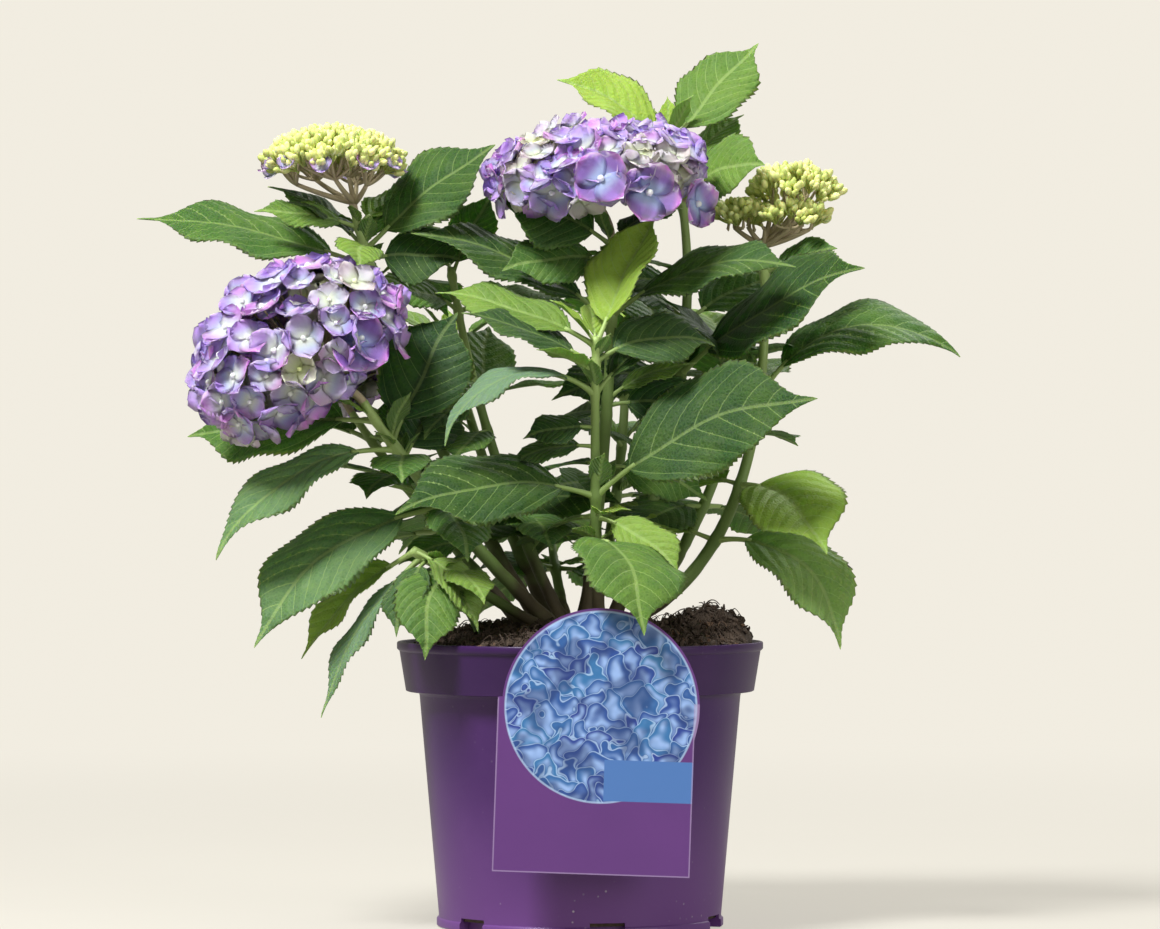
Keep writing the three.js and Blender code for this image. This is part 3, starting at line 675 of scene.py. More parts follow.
def stem_surface(shoot, seed):
    """A stem: its radius tapers evenly, flares at the soil, swells at each pair of leaves,
    and carries low ridges that fade where the bark is young."""
    foot, knee, tip, (stout, slim), leaves = shoot
    length = math.dist((*foot, GROUND), tip)
    share = np.linspace(0, 1, int(length / STEM_STEP))
    path = stem_path(foot, knee, tip, share)
    radii = stout + (slim - stout) * share + STEM_FLARE * np.exp(-share * FLARE_FALL)
    for leaf in leaves:
        off = (path[:, 2] - leaf[0]) / NODE_SPREAD
        radii = radii + NODE_SWELL * np.exp(-(off**2))
    along = unit(np.gradient(path, axis=0))
    along[0] = UP
    rings = rings_along(path, along, radii, STEM_SIDES)
    rough = waves(seed, 18, 3, 16)(rings * np.array([1, 1, 0.25]))
    bark = np.clip(1.2 - 2.2 * share, 0, 1)[:, None]
    radii = radii[:, None] + BARK_RELIEF * rough * bark
    rings = rings_along(path, along, radii, STEM_SIDES)
    rings[0, :, 2] = GROUND
    return closed_rings(rings, youth=share[:, None])


# Flowers


def sepal_surfaces(place, normal, radius, turn, cup, unripe, rng):
    """The sepals of a floret: each is a broad round-ended blade whose half width is a power
    of a sine of the way out, cupped by the square of it, with ruffled sides."""
    flank, front = square_to(normal)
    out = []
    s = np.linspace(0.02, 1, 7)[:, None]
    v = np.linspace(-1, 1, 5)[None, :]
    for i in range(SEPALS):
        bearing = turn + 2 * math.pi * (i + rng.uniform(-0.06, 0.06)) / SEPALS
        way = flank * math.cos(bearing) + front * math.sin(bearing)
        side = -flank * math.sin(bearing) + front * math.cos(bearing)
        reach = radius * rng.uniform(0.88, 1.08)
        wide = radius * rng.uniform(0.58, 0.7)
        half = wide * np.sin(np.pi * np.clip(0.04 + 0.9 * s**0.85, 0, 1)) ** 0.6
        half = half * np.where(s >= 1, 0.45, 1)
        ruffle = 0.05 * radius * np.sin(2.5 * np.pi * v + rng.uniform(0, 6)) * s**2
        rise = radius * (cup * s**2 + 0.16 * v**2 * s) + ruffle + 0.06 * radius * (i % 2)
        face = (
            place
            + way * (reach * s * (1 - 0.06 * v**2))[..., None]
            + side * (half * v)[..., None]
            + normal * rise[..., None]
        )
        back = face - normal * SEPAL_THICKNESS
        back[:, [0, -1]] = face[:, [0, -1]]
        rings = np.concatenate([face[:, ::-1], back[:, 1:-1]], axis=1)[:, ::-1]
        across = np.concatenate([v[:, ::-1], v[:, 1:-1]], 1)[:, ::-1]
        spot = np.stack(np.broadcast_arrays(s, across, unripe), -1)
        out.append(closed_rings(rings, petal_place=spot, petal_hue=rng.random()))
    return out


def ball_surface(place, axis, radius, length, sides, rows, **values):
    """A rounded grain: rings whose radius is the sine of the climb, drawn out to a length."""
    climb = np.linspace(0.12, math.pi - 0.12, rows)
    path = place - axis * (np.cos(climb) * length / 2)[:, None]
    along = np.broadcast_to(axis, path.shape)
    return closed_rings(rings_along(path, along, radius * np.sin(climb), sides), **values)


def eye_surface(place, normal, radius, unripe):
    """The bead in the middle of a floret."""
    middle, spot = place + normal * 0.1 * radius, np.array([0.0, 0.0, unripe])
    wide, deep = 0.13 * radius, 0.3 * radius
    return ball_surface(middle, normal, wide, deep, 6, 5, petal_place=spot, petal_hue=0.5)


def floret_surfaces(place, normal, radius, turn, cup, unripe, rng):
    """A floret of an open head: its sepals and the bead in their middle."""
    sepals = sepal_surfaces(place, normal, radius, turn, cup, unripe, rng)
    return [*sepals, eye_surface(place, normal, radius, max(unripe, 0.0))]


def mophead_surfaces(name, seed):
    """Florets dealt out over a flattened ball, a lower layer of smaller ones that fills the
    gaps, and the rays that carry them."""
    _, at, axis, radius, half, florets, unripe, longer = MOPHEADS[name]
    rng = np.random.default_rng(seed)
    centre, pole = np.array(at, float), unit(np.array(axis, float))
    sepals, rays = [], []
    patch, swell = waves(seed, 8, 45, 90), waves(seed + 9, 6, 50, 110)
    for scale, part, size in LAYERS:
        places, normals = places_on_ball(
            centre, pole, radius * scale, half * scale, int(florets * part), LOWEST_FLORET
        )
        ripe = patch(places) - (places - centre) @ RIPE_SIDES[name] / radius
        places = places + normals * (3.5 * swell(places))[:, None]
        drawn = (places - centre) @ LONG_WAY * (longer - 1)
        places = places + drawn[:, None] * np.array(LONG_WAY)
        for i, (place, normal) in enumerate(zip(places, normals)):
            tilt = unit(normal + rng.normal(0, 0.24, 3) + UP * 0.12)
            green = np.clip(unripe + 0.4 * ripe[i] + (0.35 if scale < 0.9 else 0), 0, 1)
            reach = FLORET_RADIUS * size * rng.uniform(0.9, 1.22) * (1 - 0.35 * green)
            cup = rng.uniform(0.05, 0.3) + 0.35 * green
            spot = place - normal * (cup * 0.4 * reach) + rng.normal(0, 1.2, 3)
            turn = rng.uniform(0, math.pi)
            sepals += floret_surfaces(spot, tilt, reach, turn, cup, green, rng)
            if scale > 0.9:
                root = centre - pole * half * 0.75
                share = np.linspace(0, 1, 4)
                path = bezier(root, root + (spot - root) * 0.4 + pole * 2, spot, share)
                rays.append(tube(path, 1.4 - 0.7 * share, 5, youth=0.5))
    for middle, way, reach in WIDE_FLORETS[name]:
        spot, facing = np.array(middle, float), unit(np.array(way, float))
        sepals += floret_surfaces(spot, facing, reach, rng.uniform(0.3, 0.9), 0.22, -0.25, rng)
        path = bezier(centre, spot - facing * 8, spot, np.linspace(0, 1, 4))
        rays.append(tube(path, np.full(4, 1.1), 5, youth=0.4))
    return sepals, rays


def bud_surfaces(place, axis, rng, size):
    """An unopened floret: a grain on a thin stalk."""
    tone = rng.uniform(0, 1)
    wide, tall = BUD_RADIUS * size, BUD_LENGTH * size
    bud = ball_surface(place, axis, wide, tall, 6, 6, bud_tone=tone)
    path = np.stack([place - axis * 11 * size, place - axis * 5 * size, place])
    return [bud, tube(path, [0.5, 0.5, 0.8], 4, bud_tone=0.1)]


def bud_head_surfaces(head, seed):
    """Tufts of buds dealt out over flat clusters. Boughs leave the fork toward a few even
    places under each cluster, and each tuft's ray leaves the end of the nearest one. A few
    florets open at the side of a wide cluster."""
    shoot, clusters = head
    rng = np.random.default_rng(seed)
    fork = np.array(SHOOTS[shoot][2], float) + UP * 6
    buds, rays, sepals = [], [], []
    for at, radius, half, tufts in clusters:
        centre = np.array(at, float)
        places, normals = places_on_ball(centre, UP, radius * 0.9, half * 0.95, tufts, -0.05)
        under = centre - UP * (half * 0.55 + 5)
        boughs, _ = places_on_ball(under, UP, radius * 0.55, half * 0.35, 6, 0.1)
        share = np.linspace(0, 1, 7)
        for end in boughs if radius > 20 else boughs[:2]:
            path = bezier(fork, fork + (end - fork) * 0.5 - UP * 2, end, share)
            rays.append(tube(path, 2.1 - 0.7 * share, 7, youth=0.75))
        for place, normal in zip(places, normals):
            axis = unit(normal + UP * 0.8)
            base = place - axis * TUFT_STALK
            flank, front = square_to(axis)
            for j in range(BUDS_IN_TUFT):
                lean = rng.uniform(0, 0.7) ** 0.7
                turn = GOLDEN_TURN * j
                way = unit(axis + (flank * math.cos(turn) + front * math.sin(turn)) * lean)
                spot = base + way * rng.uniform(9, 13.5)
                buds += bud_surfaces(spot, way, rng, rng.uniform(0.7, 1.1))
            end = boughs[np.argmin(np.linalg.norm(boughs - base, axis=1))]
            path = bezier(end, end + (base - end) * 0.5 - UP * 2, base, share)
            rays.append(tube(path, 1.2 - 0.4 * share, 6, youth=0.9))
        if radius > 40:
            for j in range(EARLY_FLORETS):
                turn = math.radians(150 + 36 * j + rng.uniform(-9, 9))
                way = np.array([math.cos(turn), math.sin(turn), 0.0])
                spot = centre + way * radius * 0.86 - UP * rng.uniform(2, 6)
                facing, reach = unit(way + UP * 0.7), rng.uniform(7, 10)
                sepals += sepal_surfaces(spot, facing, reach, turn, 0.45, 0.15, rng)
    return buds, rays, sepals


def head_stalk(shoot, end):
    """The stalk from a shoot's tip into its flower head, as slim as the shoot's tip."""
    radius = SHOOTS[shoot][3][1]
    knee, tip = (np.array(place, float) for place in SHOOTS[shoot][1:3])
    along = unit(tip - knee)
    path = bezier(tip - along * 2, tip + along * 12, end, np.linspace(0, 1, 8))
    return tube(path, np.full(8, radius), 10, youth=0.5)


# Pot, soil and card


def turned_surface(profile, sides):
    """A profile of radius and height turned about the upright axis."""
    radius, height = np.array(profile, float).T
    turn = 2 * np.pi * np.arange(sides) / sides
    radius, height = radius[:, None], height[:, None]
    x, y = radius * np.cos(turn), radius * np.sin(turn)
    return closed_rings(np.stack(np.broadcast_arrays(x, y, height), -1))


def pot_profile():
    """The pot's wall from the middle of its underside, up outside, over the rim and down
    inside to the middle of the floor, with its corners rounded by short steps."""
    inside = RIM_RADIUS - RIM_THICKNESS
    slope = (BODY_TOP_RADIUS - BODY_FOOT_RADIUS) / (BAND_FOOT_HEIGHT - FOOT_RING_HEIGHT)
    body = [
        (BODY_FOOT_RADIUS + slope * (z - FOOT_RING_HEIGHT), z)
        for z in np.linspace(FOOT_RING_HEIGHT + 2, BAND_FOOT_HEIGHT - 3, 12)
    ]
    spread, rise = RIM_RADIUS - 1.6 - BAND_FOOT_RADIUS, POT_HEIGHT - 7 - BAND_FOOT_HEIGHT
    band = [
        (BAND_FOOT_RADIUS + spread * t, BAND_FOOT_HEIGHT + 1.2 + rise * t)
        for t in np.linspace(0, 1, 6)
    ]
    return [
        (1, 0),
        (PAD_RADIUS - 1, 0),
        (PAD_RADIUS, 0.3),
        (PAD_RADIUS + UNDERSIDE_RISE, UNDERSIDE_RISE),
        (FOOT_RING_RADIUS - 12, UNDERSIDE_RISE),
        (FOOT_RING_RADIUS - 9.2, 0.4),
        (FOOT_RING_RADIUS - 8.6, 0),
        (FOOT_RING_RADIUS - 0.6, 0),
        (FOOT_RING_RADIUS, 0.6),
        (FOOT_RING_RADIUS, FOOT_RING_HEIGHT - 0.6),
        (FOOT_RING_RADIUS - 0.5, FOOT_RING_HEIGHT),
        (BODY_FOOT_RADIUS + 0.2, FOOT_RING_HEIGHT + 0.5),
        *body,
        (BODY_TOP_RADIUS + 0.2, BAND_FOOT_HEIGHT - 1),
        (BODY_TOP_RADIUS + 1.2, BAND_FOOT_HEIGHT),
        (BAND_FOOT_RADIUS - 0.8, BAND_FOOT_HEIGHT),
        (BAND_FOOT_RADIUS - 0.1, BAND_FOOT_HEIGHT + 0.4),
        *band,
        (RIM_RADIUS - 0.6, POT_HEIGHT - 5),
        (RIM_RADIUS, POT_HEIGHT - 4.2),
        (RIM_RADIUS, POT_HEIGHT - 0.9),
        (RIM_RADIUS - 0.4, POT_HEIGHT - 0.2),
        (RIM_RADIUS - 1, POT_HEIGHT),
        (inside + 1, POT_HEIGHT),
        (inside + 0.3, POT_HEIGHT - 0.4),
        (inside, POT_HEIGHT - 1.2),
        (BAND_FOOT_RADIUS - WALL, BAND_FOOT_HEIGHT + WALL),
        (BODY_TOP_RADIUS - WALL, BAND_FOOT_HEIGHT + WALL),
        (BODY_FOOT_RADIUS - WALL, FLOOR_TOP),
        (1, FLOOR_TOP),
    ]


def cut_away(piece, cutters):
    """Takes the cutters out of a piece and removes them."""
    for cutter in cutters:
        cut = piece.modifiers.new("cut", "BOOLEAN")
        cut.operation = "DIFFERENCE"
        cut.solver = "EXACT"
        cut.object = cutter
    graph = bpy.context.evaluated_depsgraph_get()
    cut_mesh = bpy.data.meshes.new_from_object(piece.evaluated_get(graph))
    piece.modifiers.clear()
    old = piece.data
    piece.data = cut_mesh
    bpy.data.meshes.remove(old)
    for cutter in cutters:
        bpy.data.meshes.remove(cutter.data)


def cutter_object(name, points, faces):
    """A plain solid that only cuts, from its points and faces."""
    mesh = bpy.data.meshes.new(name)
    mesh.from_pydata([tuple(p) for p in np.asarray(points) * MM], [], faces)
    cutter = bpy.data.objects.new(name, mesh)
    bpy.context.scene.collection.objects.link(cutter)
    return cutter


def turned_about_up(points, degrees):
    """Points turned about the upright axis."""
    c, s = math.cos(math.radians(degrees)), math.sin(math.radians(degrees))
    return np.asarray(points) @ np.array([[c, s, 0], [-s, c, 0], [0, 0, 1]])


def soil_height(x, y, brim):
    """The height of the soil: a level seat in the middle, a slope to the brim by a power of
    the way in from it, a heap on the right that falls off as a bell, and lumps."""
    x, y = np.asarray(x), np.asarray(y)
    radius = np.hypot(x, y)
    share = np.clip((brim - radius) / (brim - SEAT_RADIUS), 0, 1) ** SLOPE_POWER
    base = SOIL_EDGE_HEIGHT + (SEAT_HEIGHT - SOIL_EDGE_HEIGHT) * share
    bell = np.exp(-((x - HEAP_AT[0]) ** 2 + (y - HEAP_AT[1]) ** 2) / HEAP_SPREAD**2)
    flat = np.stack([x, y, 0 * x], -1)
    lumps = 1.3 * waves(7, 14, 16, 50)(flat) + 0.8 * waves(8, 20, 5, 12)(flat)
    outside = np.clip((radius - SEAT_RADIUS) / 12, 0, 1)
    return base + outside * (HEAP_HEIGHT * bell + lumps)


def soil_surface():
    """The soil that fills the pot: rings up the inside of the wall, then a rough top."""
    sides = 180
    turn = 2 * np.pi * np.arange(sides) / sides
    body = BODY_TOP_RADIUS - WALL - SOIL_GAP
    band = POT_BORE - SOIL_GAP
    edge = band + 1.6
    sunk = [
        (1, FLOOR_TOP + 0.3),
        (BODY_FOOT_RADIUS - WALL - 0.6, FLOOR_TOP + 0.3),
        (body, BAND_FOOT_HEIGHT + WALL - 0.3),
        (body, BAND_FOOT_HEIGHT + WALL + 0.3),
        (band, BAND_FOOT_HEIGHT + WALL + 0.4),
    ]
    radius = np.concatenate([[r for r, _ in sunk], np.linspace(edge, 1, 64)])[:, None]
    x, y = radius * np.cos(turn), radius * np.sin(turn)
    z = soil_height(x, y, edge)
    z[: len(sunk)] = [[height] for _, height in sunk]
    return closed_rings(np.stack([x, y, z], -1), soil_tone=0.3)


def crumb_surfaces(count, seed):
    """Crumbs and chips that lie on the soil: small grains, each pushed out of shape by a
    wave of its own."""
    rng = np.random.default_rng(seed)
    out = []
    edge = POT_BORE - 1
    for i in range(count):
        radius = edge * math.sqrt(rng.uniform(0.06, 1))
        turn = rng.uniform(0, 2 * math.pi)
        x, y = radius * math.cos(turn), radius * math.sin(turn)
        size = rng.uniform(0.6, 2.0) * (1 if i % 9 else 1.9)
        axis = unit(rng.normal(size=3) + UP * 0.2)
        place = np.array([x, y, soil_height(x, y, edge + 1.6) + 0.4 * size])
        wide, tall = size * rng.uniform(0.5, 1), size * rng.uniform(1.4, 3.4)
        grain = ball_surface(place, axis, wide, tall, 5, 4, soil_tone=rng.random())
        grain["points"] += rng.normal(0, 0.22 * size, grain["points"].shape)
        out.append(grain)
    return out


def fibre_surfaces(count, seed):
    """Fibres that lie on the soil and curl up from it, each a thin bend between two places."""
    rng = np.random.default_rng(seed)
    out = []
    edge = POT_BORE - 6
    share = np.linspace(0, 1, 7)
    for _ in range(count):
        radius = edge * math.sqrt(rng.uniform(0.1, 1))
        turn, way, reach = rng.uniform(0, 6.3), rng.uniform(0, 6.3), rng.uniform(4, 14)
        start = np.array([radius * math.cos(turn), radius * math.sin(turn)])
        end = start + reach * np.array([math.cos(way), math.sin(way)])
        end *= min(1, edge / np.hypot(*end))
        low, high = (float(soil_height(*place, edge + 7.6)) for place in (start, end))
        knee = [*(start + end) / 2 + rng.normal(0, 3, 2), max(low, high) + rng.uniform(2, 12)]
        path = bezier((*start, low), knee, (*end, high + rng.uniform(0, 5)), share)
        radii = rng.uniform(0.25, 0.6) * (1.1 - 0.6 * share)
        out.append(tube(path, radii, 4, soil_tone=rng.uniform(0, 0.9)))
    return out


def card_surface():
    """The card: rows up its face, each as wide as the sheet or the disc is there, with a
    slight bow, closed by its back."""
    low = np.linspace(CARD_FOOT, DISC_AT[1], 40)
    high = DISC_AT[1] + DISC_RADIUS * np.sin(np.linspace(0.02, math.pi / 2 - 0.03, 40))
    z = np.sort(np.concatenate([low, high, [CARD_SHOULDER, CARD_SHOULDER + 0.2]]))
    chord = np.sqrt(np.clip(DISC_RADIUS**2 - (z - DISC_AT[1]) ** 2, 0, None))
    left, right = DISC_AT[0] - chord, DISC_AT[0] + chord
    sheet = z <= CARD_SHOULDER
    left = np.where(sheet, np.minimum(left, CARD_LEFT), left)
    right = np.where(sheet, np.maximum(right, CARD_RIGHT), right)
    v = np.linspace(0, 1, 25)[None, :]
    x = left[:, None] + (right - left)[:, None] * v
    lean = math.radians(CARD_LEAN)
    dx, dz = x - DISC_AT[0], z[:, None] - DISC_AT[1]
    bow = CARD_BOW * ((x - 10) / 60) ** 2
    spot = np.stack([x, np.broadcast_to(z[:, None], x.shape), 0 * x + 1], -1)
    turned_x = DISC_AT[0] + dx * math.cos(lean) + dz * math.sin(lean)
    turned_z = DISC_AT[1] - dx * math.sin(lean) + dz * math.cos(lean)
    face = np.stack([turned_x, CARD_FRONT + bow, turned_z], -1)
    back = face + np.array([0, CARD_THICKNESS, 0])
    rings = np.concatenate([face, back[:, ::-1]], axis=1)
    spot = np.concatenate([spot, spot[:, ::-1] * [1, 1, 0]], axis=1)
    return closed_rings(rings, card_place=spot)


def tongue_surface():
    """The card's tongue: a strip carried along a path from the card's back, over the rim and
    down into the soil."""
    top = POT_HEIGHT + 0.3 + CARD_THICKNESS / 2
    front = CARD_FRONT + CARD_THICKNESS
    inside = TONGUE_BACK - CARD_THICKNESS / 2
    path = np.array([
        (front, top + 0.4),
        (front + 2, top + 0.1),
        (-112, top),
        (inside - 1.2, top),
        (inside - 0.3, top - 0.4),
        (inside, top - 1.4),
        (inside, TONGUE_FOOT),
    ])
    step = unit(np.gradient(path, axis=0))
    square = np.stack([-step[:, 1], step[:, 0]], -1) * CARD_THICKNESS / 2
    ring = []
    for side, way in ((-1, 1), (1, 1), (1, -1), (-1, -1)):
        y, z = (path + way * square).T
        ring.append(np.stack([np.full(len(path), TONGUE_AT + side * TONGUE_WIDTH / 2), y, z], -1))
    return closed_rings(np.stack(ring, 1), card_place=np.zeros(3))


# Materials


class Nodes:
    """Makes nodes in one tree. An input is a plain value, a colour or another socket."""

    def __init__(self, tree):
        self.tree = tree

    def feed(self, node, inputs):
        """Gives a node's inputs their values, or links them."""
        for key, value in inputs.items():
            if isinstance(value, bpy.types.NodeSocket):
                self.tree.links.new(value, node.inputs[key])
            else:
                node.inputs[key].default_value = value
        return node

    def add(self, kind, inputs=None, **settings):
        """A node with its settings and inputs."""
        node = self.tree.nodes.new("ShaderNode" + kind)
        for key, value in settings.items():
            setattr(node, key, value)
        return self.feed(node, inputs or {})

    def sum(self, operation, a, b=0.0, c=0.0):
        """The result of one sum."""
        return self.add("Math", {0: a, 1: b, 2: c}, operation=operation).outputs[0]

    def times(self, a, b):
        """A product."""
        return self.sum("MULTIPLY", a, b)

    def line(self, value, slope, start):
        """A straight line over a value: the slope times it, from a start."""
        return self.sum("MULTIPLY_ADD", value, slope, start)

    def length(self, x, z):
        """The root of two squares added."""
        return self.sum("SQRT", self.line(x, x, self.times(z, z)))

    def mix(self, share, a, b):
        """Two colours mixed by a share."""
        a, b = (c if isinstance(c, bpy.types.NodeSocket) else (*c[:3], 1.0) for c in (a, b))
        return self.add("Mix", {0: share, 6: a, 7: b}, data_type="RGBA").outputs[2]

    def ramp(self, value, low, high):
        """A value taken from low to high, onto 0 to 1 with soft ends."""
        inputs = {0: value, 1: low, 2: high}
        return self.add("MapRange", inputs, interpolation_type="SMOOTHSTEP").outputs[0]

    def between(self, value, low, high, soft):
        """A mask that is 1 between two values, with soft sides."""
        rising = self.ramp(value, low - soft, low + soft)
        return self.times(rising, self.ramp(value, high + soft, high - soft))

    def carried(self, name, output="Vector"):
        """What a piece's points carry under a name."""
        return self.add("Attribute", attribute_name=name).outputs[output]

    def coordinates(self, kind="Object"):
        """The place of a point."""
        return self.add("TexCoord").outputs[kind]

    def parts(self, vector):
        """The three parts of a vector."""
        return self.add("SeparateXYZ", {0: vector}).outputs

    def noise(self, place, scale, detail=2.0, output="Fac"):
        """A cloudy field."""
        inputs = {"Vector": place, "Scale": scale, "Detail": detail}
        return self.add("TexNoise", inputs).outputs[output]

    def bump(self, height, strength, distance):
        """A normal from a height."""
        inputs = {"Height": height, "Strength": strength, "Distance": distance}
        return self.add("Bump", inputs).outputs[0]

    def mottle(self, scale, grain_scale):
        """The patches and the grain of the shared mottle."""
        inputs = {"Scale": scale, "Grain Scale": grain_scale}
        made = self.add("Group", inputs, node_tree=bpy.data.node_groups["Mottle"]).outputs
        return made["Patches"], made["Grain"]

    def for_camera(self, share):
        """1 where the camera looks straight at a thing, and a share of it for other light."""
        return self.line(self.add("LightPath").outputs["Is Camera Ray"], 1 - share, share)


def new_material(name):
    """An empty material, a maker of nodes in it, and its shader."""
    material = bpy.data.materials.new(name)
    material.use_nodes = True
    tree = material.node_tree
    return material, Nodes(tree), tree.nodes["Principled BSDF"]


def new_group(name, inputs, outputs):
    """An empty node group: itself, a maker of nodes in it, what it is given, and its result."""
    group = bpy.data.node_groups.new(name, "ShaderNodeTree")
    for way, sockets in (("INPUT", inputs), ("OUTPUT", outputs)):
        for socket, kind in sockets.items():
            group.interface.new_socket(socket, in_out=way, socket_type="NodeSocket" + kind)
    given = group.nodes.new("NodeGroupInput").outputs
    return group, Nodes(group), given, group.nodes.new("NodeGroupOutput")


def mottle_group():
    """A node group: cloudy patches at one scale and fine grain at another, on Object
    coordinates."""
    group, n, given, result = new_group(
        "Mottle", {"Scale": "Float", "Grain Scale": "Float"}, {"Patches": "Float", "Grain": "Float"}
    )
    place = n.coordinates()
    n.feed(result, {
        "Patches": n.noise(place, given["Scale"], 5.0),
        "Grain": n.noise(place, given["Grain Scale"], 5.0),
    })
    return group


def veins_group():
    """A node group: the midrib and side veins, the net between them and the swell of the
    blade, worked out from a place on it by the same sum as the blade's own valleys."""
    group, n, given, result = new_group(
        "Leaf Veins",
        {"Place": "Vector", "Span": "Vector"},
        {"Veins": "Float", "Net": "Float", "Swell": "Float"},
    )
    share, across, _ = n.parts(given["Place"])
    x, y, seed = n.parts(given["Span"])
    off = n.sum("ABSOLUTE", across)
    run = n.times(off, n.line(off, -VEIN_ARC, -VEIN_RUN))
    phase = n.times(n.sum("ADD", share, run), VEIN_PAIRS)
    near = n.sum("ABSOLUTE", n.line(n.sum("FRACT", phase), 2.0, -1.0))
    side = n.times(n.ramp(near, 0.9, 0.985), n.ramp(off, 1.0, 0.75))
    rib = n.ramp(n.sum("ABSOLUTE", x), 1.7, 0.6)
    flat = n.add("CombineXYZ", {0: x, 1: y, 2: seed}).outputs[0]
    cells = n.add("TexVoronoi", {"Vector": flat, "Scale": 0.42}, feature="DISTANCE_TO_EDGE")
    n.feed(result, {
        "Veins": n.sum("MAXIMUM", side, rib),
        "Net": n.ramp(cells.outputs["Distance"], 0.0, 0.4),
        "Swell": n.sum("SUBTRACT", 1.0, near),
    })
    return group


def leaf_material(settings, veins):
    """Leaf: dark to bright green by the leaf's tone, which is partly its age and partly painted
    light and shade; a painted sheen, a greyer green for the pale sky reflected where an older
    leaf droops to a side; pale veins, a net of fine quilting, and a paler, duller underside."""
    material, n, shader = new_material("leaf")
    place, span = n.carried("leaf_place"), n.carried("leaf_span")
    made = n.add("Group", {"Place": place, "Span": span}, node_tree=veins).outputs
    # The tone is partly painted light and shade: higher for leaves that lie in shade, lower for
    # leaves in full light.
    tone = n.carried("leaf_tone", "Fac")
    low = n.mix(n.ramp(tone, 0.0, 0.45), settings.dark, settings.middle)
    green = n.mix(n.ramp(tone, 0.4, 1.0), low, settings.bright)
    lighter = n.mix(n.line(tone, 0.3, 0.04), green, settings.bright)
    green = n.mix(n.ramp(n.noise(span, 0.05, 4.0), 0.35, 0.75), green, lighter)
    # Painted sheen: mixes in the greyer green that stands for reflected pale sky on drooping
    # leaves.
    green = n.mix(n.times(n.carried("leaf_grey", "Fac"), 0.95), green, settings.painted_sheen)
    paler = n.mix(n.line(tone, 0.16, 0.04), green, settings.vein)
    green = n.mix(made["Net"], paler, green)
    face = n.mix(n.times(made["Veins"], n.line(tone, 0.42, 0.28)), green, settings.vein)
    pale = n.mix(0.4, green, settings.under)
    pale = n.mix(n.times(made["Veins"], 0.6), pale, settings.vein)
    upper = n.parts(place)[2]
    height = n.line(made["Net"], 0.4, n.times(made["Swell"], 1.2))
    height = n.line(n.noise(span, 0.3, 4.0), 1.5, height)
    n.feed(shader, {
        "Base Color": n.mix(upper, pale, face),
        "Roughness": n.line(upper, -0.18, 0.68),
        "Normal": n.bump(height, 0.55, 0.0009),
        "Specular IOR Level": 0.08,
        "Subsurface Weight": 0.25,
        "Subsurface Radius": (0.5, 1.0, 0.1),
        "Subsurface Scale": 0.002,
    })
    return material


def stem_material(settings):
    """Stem: brown bark with pale specks below, smooth green above, by the stem's youth."""
    material, n, shader = new_material("stem")
    youth = n.carried("youth", "Fac")
    patches, grain = n.mottle(60.0, 900.0)
    bark = n.mix(patches, settings.bark, settings.pale_bark)
    green = n.mix(n.ramp(youth, 0.5, 1.0), settings.green, settings.young)
    colour = n.mix(n.ramp(n.line(patches, 0.3, youth), 0.24, 0.42), bark, green)
    colour = n.mix(n.times(n.ramp(grain, 0.62, 0.7), 0.35), colour, settings.pale_bark)
    n.feed(shader, {
        "Base Color": colour,
        "Roughness": n.line(youth, -0.25, 0.75),
        "Normal": n.bump(grain, 0.4, 0.0004),
    })
    return material


def petal_material(settings):
    """Petal: a pale eye, blue within and violet at the rim, darker on the widest florets,
    cream and green while unripe, with fine veins that run outward."""
    material, n, shader = new_material("petal")
    out, across, unripe = n.parts(n.carried("petal_place"))
    hue = n.carried("petal_hue", "Fac")
    edge = n.sum("MAXIMUM", out, n.times(n.sum("ABSOLUTE", across), 0.92))
    rim = n.mix(n.ramp(hue, 0.5, 1.0), settings.violet, settings.magenta)
    inner = n.mix(n.ramp(hue, 0.2, 0.9), settings.blue, settings.lilac)
    ripe = n.mix(n.ramp(edge, 0.3, 0.92), inner, rim)
    ripe = n.mix(n.ramp(out, 0.62, 0.08), ripe, settings.eye)
    deep = n.mix(n.ramp(edge, 0.72, 1.0), settings.deep, settings.magenta)
    deep = n.mix(n.ramp(out, 0.6, 0.12), deep, settings.blue)
    deep = n.mix(n.ramp(edge, 0.97, 1.0), deep, settings.lilac)
    ripe = n.mix(n.ramp(unripe, -0.05, -0.2), ripe, deep)
    young = n.mix(n.ramp(out, 0.1, 0.9), settings.green, settings.cream)
    colour = n.mix(n.ramp(unripe, 0.35, 0.8), ripe, young)
    lines = n.add("CombineXYZ", {0: n.times(across, 5.0), 1: out, 2: hue}).outputs[0]
    vein = n.noise(lines, 2.2, 3.0)
    n.feed(shader, {
        "Base Color": n.mix(n.times(n.ramp(vein, 0.45, 0.8), 0.16), colour, settings.violet),
        "Roughness": 0.7,
        "Specular IOR Level": 0.25,
        "Subsurface Weight": 0.7,
        "Subsurface Radius": (1.0, 0.85, 1.0),
        "Subsurface Scale": 0.005,
        "Normal": n.bump(vein, 0.3, 0.0005),
    })
    return material


def bud_material(settings):
    """Bud: yellow-green with paler clouds, some darker than others."""
    material, n, shader = new_material("bud")
    cloud = n.noise(n.coordinates(), 260.0, 3.0)
    tone = n.ramp(n.carried("bud_tone", "Fac"), 0.1, 0.9)
    colour = n.mix(tone, settings.bud_dark, settings.bud_bright)
    n.feed(shader, {
        "Base Color": n.mix(n.ramp(cloud, 0.55, 0.8), colour, settings.cream),
        "Roughness": 0.55,
        "Subsurface Weight": 0.15,
        "Subsurface Scale": 0.002,
        "Normal": n.bump(cloud, 0.3, 0.0005),
    })
    return material


